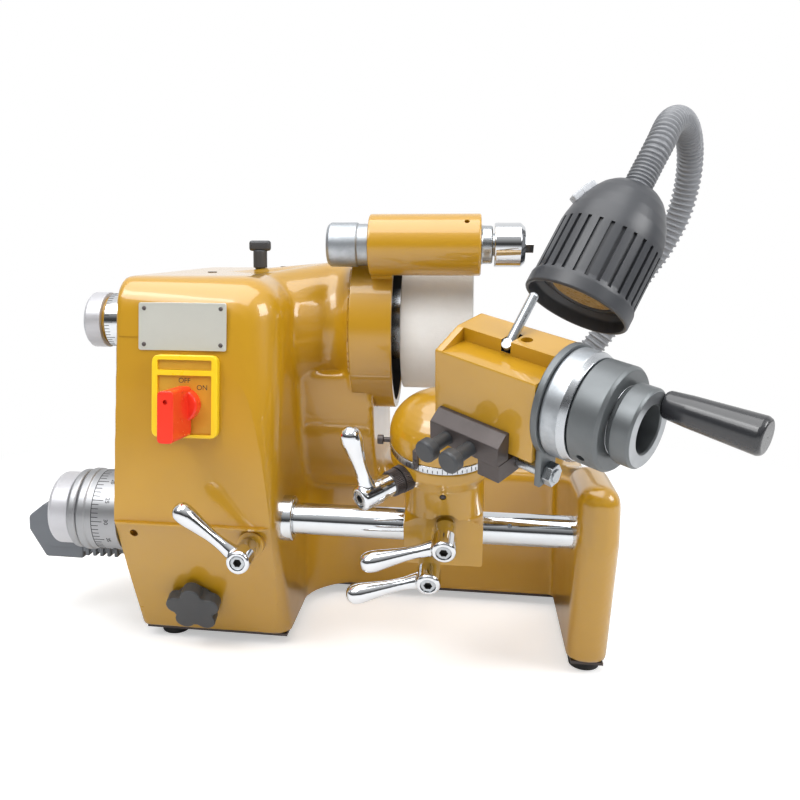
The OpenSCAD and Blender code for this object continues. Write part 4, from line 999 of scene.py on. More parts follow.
@dataclass
class FrontFittings:
    """Name plate, rotary switch, belt tension knob and power inlet of the column."""

    plate: Seat = FRONT.moved(-123, 0, 137.4).facing()
    plate_size: Point2 = (63.0, 33.0)
    rivet_inset: float = 4.0
    switch: Seat = FRONT.moved(-119.5, 0, 89.6).facing()
    switch_size: Point3 = (6.0, 47.0, 57.0)
    window_margin: float = 8.4
    windows: tuple[Point2, Point2] = ((21.7, 7.0), (-5.7, 40.6))
    label: Point2 = (3.9, 4.12)
    knob_drop: float = 5.5
    lobes: int = 5
    inlet: Seat = Seat.at(-172.5, -34, 73)

    def build_plate(self) -> None:
        """Builds the bare name plate and its rivets."""
        width, height = self.plate_size
        plate = Shape().prism(panel(width, height, 1.2), 0.05, 1.0).soften(0.15, 1)
        frame_line = Shape().prism(panel(width - 3, height - 3, 1.0), 0.88, 2.0)
        plate.cut(frame_line.cut(Shape().prism(panel(width - 4, height - 4, 0.8), 0.5, 3.0)))
        plate.piece("name_plate_sheet", self.plate, "base", "alloy", [Paint.PLATE], ["name_plate"])
        rivets = Shape()
        for y in (-1, 1):
            for z in (-1, 1):
                rivets.join(Shape().turn([(0.7, 0), (0.7, 1.6), (1.3, 1.5), (1.9, 0.8), (2.0, 0)],
                                         0.3, False, 24),
                            Seat.at(0, y * (width / 2 - self.rivet_inset),
                                    z * (height / 2 - self.rivet_inset)))
        rivets.piece("plate_rivet_heads", self.plate, "base", "steel", [Paint.BROWNED],
                     ["plate_rivets"])

    def window(self, number: int, slack: float = 0.0) -> list[Point2]:
        """Gives the outline of a sunk window of the switch, drawn in by a slack.

        Args:
            number: 0 for the upper window, 1 for the lower.
            slack: How much smaller it is.

        Returns:
            Points of the outline.
        """
        rise, height = self.windows[number]
        outline = panel(self.switch_size[1] - self.window_margin - slack, height - slack,
                        0.8 - slack / 2)
        return [(y, z + rise) for y, z in outline]

    def build_switch(self) -> None:
        """Builds the switch frame, its label and the red knob."""
        depth, width, height = self.switch_size
        case = Shape().prism(panel(width, height, 4.0), 0.05, depth).soften(0.9, 3)
        knob_seat = Seat.at(0, 0, -self.knob_drop)
        sunk = [Shape().prism(self.window(number), depth - 2, depth + 2) for number in (0, 1)]
        case.cut(*sunk, bore(knob_seat, -2, 8, 5.1, 32))
        case.piece("switch_case", self.switch, "base", "switch_yellow", [Paint.SWITCH_YELLOW],
                   ["switch_frame"])
        label = Shape().prism(self.window(1, 0.2), *self.label).cut(bore(knob_seat, 3, 5, 5.2, 32))
        label.prism(self.window(0, 0.2), *self.label)
        label.piece("switch_label", self.switch, "base", "switch_yellow", [Paint.GOLD_FOIL])
        ink = Shape().words("OFF", 4.9, Seat.at(4.14, -0.4, 10.9), 0.04)
        ink.words("ON", 4.9, Seat.at(4.14, 12.2, 6.2), 0.04)
        ink.piece("switch_words", self.switch, "base", "black_plastic", [Paint.INK])
        knob = Shape().turn([(3.7, 0), (3.7, 11.5), (12.6, 11.5), (13.7, 10.4), (13.7, 0)], 0.8,
                            False, 64)
        knob.join(Shape().rod(-2.2, 5, 4.9, 0.3, 32))
        grip = Shape().prism(panel(11, 34, 2.4), 6.2, 41.7).soften(1.2, 3)
        grip.cut(bore(Seat.at(0, 0, 10), 39, 44, 1.6, 24))
        knob.join(grip, Seat.at(0, 0, -4.08))
        knob.piece("switch_handle", self.switch.moved(0, 0, -self.knob_drop), "switch",
                   "red_plastic", [Paint.RED_PLASTIC], ["switch_knob"])

    def build_star(self) -> None:
        """Builds the lobed knob of the belt tensioner."""
        star = Shape().rod(0.6, 12.3, 15.0, 0.5, 64)
        for i in range(self.lobes):
            angle = math.radians(18 + 360 * i / self.lobes)
            star.join(Shape().rod(3.3, 12.3, 7.5, 0.5, 40),
                      Seat.at(0, 13 * math.cos(angle), 13 * math.sin(angle)))
        star.melt(0.7, 5)
        star.join(Shape().rod(-19.7, 1.5, 4.0, 0.3, 32))
        star.piece("tension_star", STAR, "tensioner", "black_plastic", [Paint.BLACK_PLASTIC],
                   ["tension_knob"])

    def build_inlet(self) -> None:
        """Builds the ribbed power connector on the column side."""
        inlet = Shape().block((-58, -19, -16), (0, 19, 16))
        for i in range(5):
            x = -58 + 3 * (2 * i + 1)
            inlet.block((x, -21, -18.5), (x + 3, 21, 18.5))
        inlet.soften(0.8)
        head = [(-58, -22), (-90, -22), (-104, 0), (-104, 11), (-90, 22), (-58, 22)]
        shell = Shape().prism(head, -19, 19).soften(2.0, 3)
        inlet.join(shell, FLOOR.facing())
        inlet.join(Shape().prism(panel(24, 26, 2), 18.8, 19.6).soften(0.4),
                   Seat.at(-74, 0, 0).facing())
        inlet.piece("power_connector", self.inlet, "base", "grey_plastic", [Paint.GREY_PLASTIC],
                    ["power_inlet"])

    def build(self) -> None:
        """Builds all the fittings."""
        self.build_plate()
        self.build_switch()
        self.build_star()
        self.build_inlet()


@dataclass
class WheelHead:
    """Hood, grinding wheel, quill, quill feed knob and lock screw on the spindle axis."""

    hood_end: float = 17.0
    hood_wall: float = 6.0
    hood_bore: float = 25.3
    wheel: Point2 = (22.0, 75.5)
    wheel_bore: float = 10.0
    wheel_r: float = 50.0
    cup: float = 40.0
    cup_wall: float = 12.0
    knob_x: float = -239.5
    knob_r: float = 23.0
    knob_end: float = -172.8
    shank_end: float = -161.0
    shank_r: float = 8.0

    def build(self) -> None:
        """Builds the wheel head."""
        x0, x1, r, w = HOOD_X, self.hood_end, HOOD_R, self.hood_wall
        hood = Shape().turn([(x0, self.hood_bore), (x0, r), (x1, r), (x1, r - w), (x0 + w, r - w),
                             (x0 + w, self.hood_bore)], 0.9, True, 128)
        # Painted shade: the inner faces of the hood are painted near black.
        hood.paint(1, lambda middle, way: off_axis(middle) < r - w + 0.3
                   and x0 + 1 < middle.x < x1 - 1.2)
        hood.piece("wheel_hood", SPINDLE, "base", "yellow_casting", [Paint.ENAMEL, Paint.PAINTED_SHADE],
                   ["wheel_guard"])
        (a, b), rim, hole = self.wheel, self.wheel_r, self.wheel_bore
        lip, floor = rim - self.cup_wall, b - self.cup
        stone = Shape().turn([(a, hole), (a, rim), (b, rim), (b, lip), (floor, lip - 1),
                              (floor, hole)], 1.2, True, 128)
        stone.piece("cup_wheel", SPINDLE, "wheel_spindle", "abrasive", [Paint.ABRASIVE],
                    ["grinding_wheel"])
        nut = Shape().turn([(35.55, 8.5), (35.55, 19), (38.8, 19), (38.8, 8.5)], 0.6, True)
        flats = Shape().prism(hexagon(16), 38.8, 46.5).soften(0.7)
        nut.join(flats.cut(bore(FLOOR, 38, 48, 8.5, 48)))
        nut.piece("wheel_nut_hex", SPINDLE, "wheel_spindle", "steel", [Paint.SPINDLE_STEEL],
                  ["wheel_nut"])
        Paint.SPINDLE_STEEL.coat_node("wheel_flange", "spindle_shaft", "quill", "spindle_bearings")
        self.build_knob()
        self.build_lock()

    def build_knob(self) -> None:
        """Builds the quill feed knob with its chromed barrel and pearl cap."""
        x, r, end = self.knob_x, self.knob_r, self.knob_end
        shank, thin = self.shank_end, self.shank_r
        knob = Shape().turn([(x, 0), (x, r - 2.5), (x + 2.5, r), (x + 15, r), (x + 15, r - 4),
                             (x + 18, r - 4), (x + 18, r - 1), (end, r - 1), (end, thin),
                             (shank, thin), (shank, 0)], 0.8)
        knob.paint(1, lambda middle, way: middle.x > x + 17.5)
        knob.paint(2, lambda middle, way: x + 14.6 < middle.x < x + 18.4
                   and off_axis(middle) < r - 3)
        knob.piece("quill_feed_knob", SPINDLE, "quill_dial", "pearl_plastic",
                   [Paint.PEARL, Paint.CHROME, Paint.ENAMEL], ["quill_knob"])
        lines = marks(50, r - 1, x + 18.6, 4, 7, 5, 0.45)
        lines.piece("quill_dial_lines", SPINDLE, "quill_dial", "black_steel", [Paint.INK])

    def build_lock(self) -> None:
        """Builds the quill lock with its rounded cross head."""
        top = 44.1
        lock = Shape().turn([(24.3, 0), (24.3, 4), (top, 4), (top, 5.6), (top + 14, 5.6),
                             (top + 14, 0)], 0.8, False, 48)
        lock.join(Shape().block((top + 13.5, -3.5, -8.7), (top + 21.9, 3.5, 8.7)).soften(2.2, 3))
        lock.piece("quill_lock_head", QUILL_LOCK, "quill_lock", "black_plastic",
                   [Paint.BLACK_PLASTIC], ["quill_lock_screw"])


@dataclass
class Lever:
    """Chromed clamping lever with a club-shaped arm and a socket screw in its hub."""

    name: str
    node: str
    body: str
    seat: Seat
    turn: float
    hub_l: float = 32.0
    hub_r: float = 8.0
    arm_l: float = 49.0
    cant: float = 8.0
    sleeve: float = 0.0
    waist: tuple[Point2, ...] = ((0.14, 5.4), (0.33, 4.2), (0.49, 4.1), (0.69, 5.2), (0.86, 6.4))

    def build(self) -> None:
        """Builds the lever and its screw."""
        hub = Shape().turn([(0.3, 0), (0.3, 6.8), (4, 7.2), (14, 7.4), (18, self.hub_r),
                            (self.hub_l - 1.4, self.hub_r), (self.hub_l, 6.8), (self.hub_l, 0)],
                           0.5, False, 48)
        reach = self.arm_l
        waist = [(reach * share, r) for share, r in self.waist]
        club = Shape().turn([(0, 0), (0, 6.3), *waist, (reach - 2, 6.95), (reach + 3, 6.3),
                             (reach + 5.8, 4), (reach + 6.9, 0)], 3.0, False, 40)
        arm = Seat.at(0, self.hub_r - self.hub_l, 0).turned("Y", self.turn).turned("X", self.cant)
        blank = Shape().join(hub, FLOOR.facing()).join(club, arm.upright()).melt(0.55, 4)
        blank.cut(bore(FLOOR.facing(), 28.6, 36, 5.2, 40))
        blank.piece(self.name, self.seat, self.body, "chrome", [Paint.CHROME], [self.node])
        screw = Shape().turn([(27, 0), (27, 5.0), (31.2, 5.0), (31.6, 4.4), (31.6, 0)], 0.3, False,
                             40)
        screw.cut(Shape().prism(hexagon(2.9), 29, 33))
        screw.join(Shape().rod(-9.5, 0.6, 4.0, 0.3, 32))
        # Painted shade: the walls and floor of the hex socket are painted near black.
        screw.paint(1, lambda middle, way: middle.x < 31.3 and off_axis(middle) < 3)
        screw.piece(self.name + "_screw", self.seat.facing(), self.body, "steel",
                    [Paint.STEEL, Paint.PAINTED_SHADE])
        if self.sleeve:
            knurl = Shape().prism(knurled(8.5, 44), 0.35, self.sleeve)
            knurl.piece(self.name + "_sleeve", self.seat.facing(), self.body, "black_steel",
                        [Paint.BROWNED])


@dataclass
class GuideBar:
    """Bright guide bar with its feed sleeve, graduated barrel and feed knob."""

    start: float = -186.5
    end: float = 158.5
    sleeve_end: float = -48.5
    barrel: Point2 = (-202.5, -172.5)
    barrel_r: float = 30.0
    knob_start: float = -202.8

    def build(self) -> None:
        """Builds the bar and its feed."""
        bar = Shape().rod(self.start, self.end, BAR_R, 1.2, 96)
        bar.cut(bore(FLOOR.moved(102).turned("X", 60).upright(), 0, 20, 1.6, 24))
        bar.piece("bright_bar", BAR, "bar", "chrome", [Paint.BAR_STEEL], ["guide_bar"])
        sleeve = Shape().tube(self.start, self.sleeve_end, SLEEVE_R, BAR_R + BAR_FIT, 1.6, 96)
        sleeve.piece("bright_sleeve", BAR, "feed_carrier", "alloy", [Paint.BAR_STEEL],
                     ["feed_sleeve"])
        (a, b), r, hole = self.barrel, self.barrel_r, SLEEVE_R + 0.1
        dial = r - 1.2
        barrel = Shape().turn([(a, hole), (a, r - 1.5), (a + 1.5, r - 0.4), (a + 6, r - 0.4),
                               (a + 7, dial), (b, dial), (b, hole)], 0.5, True, 96)
        barrel.piece("graduated_barrel", BAR, "base", "alloy", [Paint.FEED_ALLOY], ["feed_barrel"])
        lines = marks(60, dial, a + 12, 5, 8, 5, 0.45)
        lines.join(Shape().tube(a + 11.6, a + 12.1, r - 1.12, r - 2, 0, 96))
        for i in range(12):
            spot = FLOOR.turned("X", 30 * i).moved(a + 23, dial, 0)
            lines.words(str(i * 5), 4.2, spot.turned("Z", 90).turned("X", 90), 0.12)
        lines.piece("barrel_lines", BAR, "base", "black_steel", [Paint.INK])
        self.build_knob()

    def build_knob(self) -> None:
        """Builds the feed knob with its bright flange and pearl grip."""
        x = self.knob_start
        knob = Shape().turn([(x + 8, 0), (x + 8, 16), (x, 16), (x, 27), (x - 1.5, 28.5),
                             (x - 6, 28.5), (x - 7.6, 26.6), (x - 8.4, 26), (x - 21, 26),
                             (x - 23.5, 23.6), (x - 23.5, 0)], 1.2, False, 96)
        knob.paint(1, lambda middle, way: middle.x > x - 7.8)
        knob.piece("feed_grip", BAR, "feed_dial", "pearl_plastic", [Paint.PEARL, Paint.FEED_ALLOY],
                   ["feed_knob"])
        nub = Shape().turn([(x - 23, 0), (x - 23, 4), (x - 27, 4), (x - 27.5, 3.2), (x - 27.5, 0)],
                           0.4, False, 36)
        nub.piece("feed_grip_screw", BAR, "feed_dial", "steel", [Paint.BROWNED])


@dataclass
class Carriage:
    """Cast arm on the bar with its round table, graduated ring and levers."""

    neck_r: float = 27.0
    bottom: float = -16.0
    table: Point2 = (46.0, 66.0)
    table_r: float = 36.0
    flat: float = 22.0
    arch: Point2 = (-25.6, 50.6)
    block_w: float = 53.0
    ring_h: float = 5.0
    screw_z: float = 43.0
    studs: tuple[Point2, Point2] = ((1.5, 20.0), (-8.5, -7.0))
    lever_gap: float = 0.3

    def body(self) -> Shape:
        """Draws the neck with its bowl-shaped table and the arched block round the bar.

        Returns:
            The casting.
        """
        low, high = self.table
        cast = Shape().join(Shape().turn([(self.bottom, 0), (self.bottom, self.neck_r),
                                          (low, self.neck_r), (low + 12, self.table_r),
                                          (high - 0.2, self.table_r), (high - 0.2, 0)], 1.5, False,
                                         96), FLOOR.upright())
        cast.join(Shape().rod(-24, 24, 17.6, 2, 64))
        half = self.block_w / 2
        bow = arc((0, self.arch[0]), self.arch[1], 58.4, 121.6)
        cast.join(Shape().prism([(-half, self.bottom), (half, self.bottom), *bow], -10,
                                self.flat + 1), FLOOR.facing())
        cast.melt(0.95, 4)
        wide = arc((0, self.arch[0]), self.arch[1], 30, 150, 48)
        front = Shape().prism([(-60, -40), (60, -40), (60, -1), *wide, (-60, -1)], self.flat, 60)
        x_up, z_up = self.studs[0]
        stud = FLOOR.turned("Z", -45).moved(0, -self.table_r - 4, 56).facing()
        return cast.cut(front.move(FLOOR.facing()), bore(FLOOR, -60, 60, BAR_R + BAR_FIT, 96),
                        *[bore(Seat.at(x, -self.flat, z).facing(), -10, 24, STUD_HOLE, 32)
                          for x, z in self.studs],
                        bore(Seat.at(x_up, 0, z_up).facing(), self.flat, 60, 9.3, 48),
                        bore(stud, -10, 10, STUD_HOLE, 32), bore(FLOOR.upright(), 44, 90, 8.0, 48),
                        bore(Seat.at(0, -self.neck_r, self.screw_z).facing(), -3, 4, 2.2, 24))

    def build(self) -> None:
        """Builds the carriage and the ring."""
        high = self.table[1]
        self.body().piece("carriage_casting", ARM, "carriage", "yellow_casting", [Paint.ENAMEL],
                          ["carriage"])
        screw = Shape().turn([(-2.6, 0), (-2.6, 2.0), (-0.8, 2.0), (0.1, 1.2), (0.3, 0)], 0.3,
                             False, 24)
        screw.piece("carriage_set_screw", ARM.moved(0, -self.neck_r, self.screw_z).facing(),
                    "carriage", "black_steel", [Paint.BROWNED])
        ring = Shape().tube(high, high + self.ring_h, self.table_r, 8, 0.6, 128)
        ring.piece("swivel_scale", ARM.upright(), "carriage", "alloy", [Paint.ARM_ALLOY],
                   ["swivel_ring"])
        lines = marks(72, self.table_r, high + 0.8, 2.2, 3.6, 6, 0.5)
        lines.piece("swivel_scale_lines", ARM.upright(), "carriage", "black_steel", [Paint.INK])
        head = Shape().rod(40.5, 44.5, 3.2, 0.5, 24).cut(Shape().prism(hexagon(1.6), 42.5, 46))
        pin = Shape().rod(35.5, 40.5, 1.7, 0.2, 24).join(head)
        pin.piece("scale_screw", ARM.moved(0, 0, 68.5).turned("Z", 180), "carriage", "black_steel",
                  [Paint.BROWNED])
        seat = Shape().prism(knurled(9.0, 44), -7, -0.05).cut(bore(FLOOR, -8, 1, 4.3, 32))
        seat.piece("swivel_clamp_seat", SWIVEL_CLAMP.facing(), "carriage",
                   "black_steel", [Paint.BROWNED])
        Paint.STEEL.coat_node("swivel_pin")
        for lever in self.levers():
            lever.build()

    def levers(self) -> list[Lever]:
        """Gives the four clamping levers.

        Returns:
            The levers, each in its seat.
        """
        gap = self.lever_gap
        upper, lower = [ARM.moved(x, -self.flat - gap, z) for x, z in self.studs]
        return [
            Lever("bar_clamp", "bar_lock_lever", "bar_lock", BAR_CLAMP.moved(y=-gap), -49),
            Lever("carriage_clamp_upper", "carriage_lever_upper", "upper_lever", upper, -103),
            Lever("carriage_clamp_lower", "carriage_lever_lower", "lower_lever", lower, -103),
            Lever("swivel_clamp", "swivel_lever", "table_lever", SWIVEL_CLAMP.moved(y=-gap), -12,
                  arm_l=42.0, sleeve=7.0),
        ]


@dataclass
class WorkHead:
    """Work head with its index rings, draw collar, crank and stop."""

    start: float = 16.0
    end: float = 85.0
    half_w: float = 29.0
    half_h: float = 29.0
    chamfer: float = 13.0
    ridge_y: float = -8.0
    ledge_z: float = 20.5
    slot: Point2 = (48.0, 54.4)
    slot_floor: float = 21.6
    dome_z: float = -60.2
    dome_r: float = 36.0
    dome_rise: float = 28.0
    bore_r: float = 20.0
    collet_r: float = 13.5
    rail_z: float = -33.0
    stop: Point2 = (-18.0, -38.5)
    thumbs: tuple[tuple[str, float], ...] = (("left", 34.0), ("right", 51.0))
    thumb_rise: float = 5.4

    def build_housing(self) -> None:
        """Builds the housing on its round foot."""
        w, h, c, z = self.half_w, self.half_h, self.chamfer, self.dome_z
        body = Shape().prism([(-w, -h), (w - c, -h), (w, -h + c), (w, h - c), (w - c, h),
                              (self.ridge_y, h), (-w, self.ledge_z)], self.start, self.end)
        bow = [(z + 5 + self.dome_rise * math.sin(a), self.dome_r * math.cos(a))
               for a in (math.radians(d) for d in range(8, 89, 8))]
        body.join(Shape().turn([(z, 0), (z, self.dome_r), (z + 5, self.dome_r), *bow,
                                (z + 5 + self.dome_rise, 0)], 0, False, 96), FLOOR.upright())
        body.melt(0.8, 3)
        a, b = self.slot
        body.cut(bore(FLOOR, -80, self.end + 1, self.bore_r + FIT, 96),
                 bore(FLOOR.upright(), z - 1, z + 13, 8 + FIT, 48),
                 Shape().block((self.start + 5, -w - 1, self.ledge_z),
                               (self.end + 1, self.ridge_y, h + 1)),
                 Shape().block((a, self.ridge_y - 1, self.slot_floor), (b, 4.5, h + 1)),
                 bore(Seat.at(59.5, 0.5, 0).upright(), self.slot_floor, h + 1, 3.5, 32))
        # Painted shade: the faces inside the slot are painted near black.
        body.paint(1, lambda middle, way: a - 0.1 < middle.x < b + 0.1
                   and self.ridge_y < middle.y < 4.6 and middle.z < h - 0.2
                   and middle.z > self.slot_floor - 0.2)
        body.piece("head_casting", HEAD, "workhead", "yellow_casting", [Paint.ENAMEL, Paint.PAINTED_SHADE],
                   ["workhead_housing"])
        pointer = Shape().block((35, -1.7, z + 0.4), (38.2, 1.7, z + 10.7)).block(
            (36.4, -1.2, z - 2.8), (37.8, 1.2, z + 0.6)).soften(0.35)
        pointer.join(Shape().rod(38, 39.2, 1.3, 0.3, 20), Seat.at(0, 0, z + 3))
        pointer.piece("scale_pointer", HEAD.turned("Z", -80), "workhead", "black_steel",
                      [Paint.BROWNED])

    def build_rings(self) -> None:
        """Builds the plate, the index rings and the draw collar."""
        r, c = self.bore_r, self.collet_r
        plate = Shape().tube(85.3, 89.3, 33.5, r + FIT, 0.6, 96)
        plate.join(Shape().block((85.3, -26, -45), (89.3, -10, -20)).soften(0.8))
        plate.piece("stop_disc", HEAD, "work_carrier", "black_steel", [Paint.BLACK_STEEL],
                    ["stop_plate"])
        ring = Shape().turn([(89.6, r), (89.6, 31.4), (91, 32), (100.6, 32), (104.5, 30.2),
                             (104.5, r)], 0.5, True, 96)
        ring.paint(1, lambda middle, way: middle.x > 100.5)
        ring.piece("index_ring_cast", HEAD, "work_rotor", "alloy",
                   [Paint.CAST_ALLOY, Paint.HEAD_STEEL], ["index_ring"])
        collar = Shape().turn([(104.6, r), (104.6, 28.5), (105.8, 30), (120.6, 30), (122.5, 28.4),
                               (122.5, r)], 0.5, True, 96)
        collar.cut(bore(FLOOR.moved(112.7).turned("X", 120).upright(), 20, 40, 2.4, 24))
        collar.piece("index_collar_turned", HEAD, "work_rotor", "black_steel", [Paint.BLACK_STEEL],
                     ["index_collar"])
        draw = Shape().turn([(122.6, c), (122.6, r), (124.8, r), (124.8, 21.6), (125.8, 22.5),
                             (135.2, 22.5), (136.6, 21.1), (136.6, 14.4), (135.8, c)], 0.4, True,
                            96)
        draw.paint(1, lambda middle, way: way.x > 0.9 and middle.x > 135)
        draw.piece("draw_collar_turned", HEAD, "work_rotor", "black_steel",
                   [Paint.BLACK_STEEL, Paint.COLLAR_END], ["draw_collar"])
        spindle = Shape().tube(12, 122.6, r, c, 0.8, 96)
        spindle.piece("work_spindle_turned", HEAD, "work_rotor", "steel", [Paint.HEAD_STEEL],
                      ["work_spindle"])
        collet = Shape().turn([(7, 6), (7, 12), (12, c), (46, c), (46, 6)], 0.5, True, 72)
        collet.cut(*[Shape().block((6, -0.5, 0), (33, 0.5, 15)).move(FLOOR.turned("X", 90 * i))
                     for i in range(4)])
        collet.piece("split_collet", HEAD, "work_rotor", "alloy", [Paint.HEAD_STEEL], ["collet"])

    def build_crank(self) -> None:
        """Builds the crank handle on its stud."""
        grip = Shape().turn([(136.9, 3.05), (136.9, 6.8), (138.4, 7.8), (150, 8.8), (186.4, 10.5),
                             (188.3, 9.6), (188.9, 8.6), (188.9, 0), (183.2, 0), (183.2, 3.05)],
                            0.6, True, 72)
        grip.piece("crank_grip", HANDLE, "handle", "black_plastic", [Paint.HANDLE_PLASTIC],
                   ["crank_handle"])
        Paint.HEAD_STEEL.coat_node("crank_stud")

    def build_stop(self) -> None:
        """Builds the index lever and the adjustable stop on the front."""
        lever = Shape().turn([(-2, 0), (-2, 2.9), (33.6, 2.9), (35, 1.8), (35, 0)], 0.6, False, 40)
        lever.join(Shape().rod(-2.9, 2.9, 3.4, 0.4, 40), FLOOR.turned("Z", 90).turned("X", 90))
        lever.piece("index_pin", HEAD.moved(51.2, -5.6, 25.3).turned("X", -46.5).upright(),
                    "indexer", "chrome", [Paint.STEEL], ["index_lever"])
        w, z = -self.half_w, self.rail_z
        rail = Shape().prism([(w, z), (w, z + 18), (w - 3, z + 18), (w - 11, z + 12), (w - 11, z)],
                             21, 70)
        rail.soften(0.6)
        rail.cut(*[bore(Seat.at(x, w, z + self.thumb_rise).facing().moved(7), 0, 15, 4.3, 32)
                   for _, x in self.thumbs])
        rail.piece("stop_slide", HEAD, "workhead", "stop_steel", [Paint.BROWNED], ["stop_rail"])
        block = Shape().block((55, w - 9, -44.6), (70, -10, z - 0.05))
        block.cut(bore(Seat.at(0, *self.stop), 54, 71, STUD_HOLE, 32)).soften(0.7)
        block.piece("stop_jaw", HEAD, "workhead", "stop_steel", [Paint.BROWNED], ["stop_block"])
        rod = Shape().turn([(38, 0), (38, 5.5), (41, 5.5), (41, 4), (95.3, 4), (95.3, 0)], 0.4,
                           False, 40)
        rod.join(Shape().prism(hexagon(7), 89.35, 94.3).soften(0.4))
        rod.piece("stop_screw", HEAD.moved(0, *self.stop), "work_carrier", "steel", [Paint.STEEL],
                  ["stop_rod"])
        for side, x in self.thumbs:
            screw = Shape().turn([(-7, 0), (-7, 4.2), (9.6, 4.2), (11, 6.2), (11.4, 6.9),
                                  (16.8, 6.9), (18, 6.0), (18, 0)], 0.5, False, 48)
            screw.piece("thumb_knob_" + side, HEAD.moved(x, w - 14.3, z + self.thumb_rise).facing(),
                        "thumb_" + side, "black_steel", [Paint.BLACK_PLASTIC],
                        ["thumb_screw_" + side])

    def build(self) -> None:
        """Builds the whole head."""
        self.build_housing()
        self.build_rings()
        self.build_crank()
        self.build_stop()


@dataclass
class Dresser:
    """Wheel dresser: a cast sleeve on the hood with a shaft, a knob and a chromed cap."""

    start: float = 1.0
    end: float = 80.0
    sleeve_r: float = 22.0
    skirt_w: float = 28.0
    shaft_r: float = 8.0
    shaft_end: float = 103.0

    def build(self) -> None:
        """Builds the dresser."""
        body = Shape().rod(self.start, self.end, self.sleeve_r, 1.0, 96)
        body.block((self.start, -self.skirt_w / 2, -25.5), (16.8, self.skirt_w / 2, 0))
        body.join(Shape().rod(self.end - 4, self.end + 8, 13.5, 0.8, 72))
        body.melt(0.8, 4)
        spindle = Seat(DRESSER.matrix.inverted() @ SPINDLE.matrix)
        body.cut(bore(FLOOR, self.start - 2, self.end + 10, self.shaft_r + BAR_FIT, 64),
                 bore(spindle, self.start - 2, 18, HOOD_R + FIT, 128),
                 bore(spindle, 17, 90, 56, 128),
                 bore(Seat.at(70, 0, 0).upright(), 0, 30, 1.8, 24))
        body.paint(1, lambda middle, way: middle.x > self.end + 0.2)
        body.piece("dresser_casting", DRESSER, "base", "yellow_casting",
                   [Paint.ENAMEL, Paint.STEEL], ["dresser_bracket"])
        r, end = self.shaft_r, self.shaft_end
        shaft = Shape().turn([(-29.3, 0), (-29.3, 14), (-27, 16), (-8, 16), (-7, 15), (0.6, 15),
                              (0.6, r), (end, r), (end, 0)], 0.6, False, 72)
        shaft.paint(1, lambda middle, way: middle.x > 0.7)
        shaft.piece("dresser_knob", DRESSER, "dresser", "alloy", [Paint.CAST_ALLOY, Paint.STEEL],
                    ["dresser_shaft"])
        cap = Shape().turn([(89.2, r), (89.2, 15), (90, 15.5), (107.2, 15.5), (110.2, 12.6),
                            (110.2, 0), (end, 0), (end, r)], 0.4, True, 72)
        cap.join(Shape().prism(panel(8.4, 8.4, 0.6), 110, 116.2).soften(0.6))
        cap.piece("dresser_end_cap", DRESSER, "dresser", "chrome", [Paint.CHROME], ["dresser_cap"])


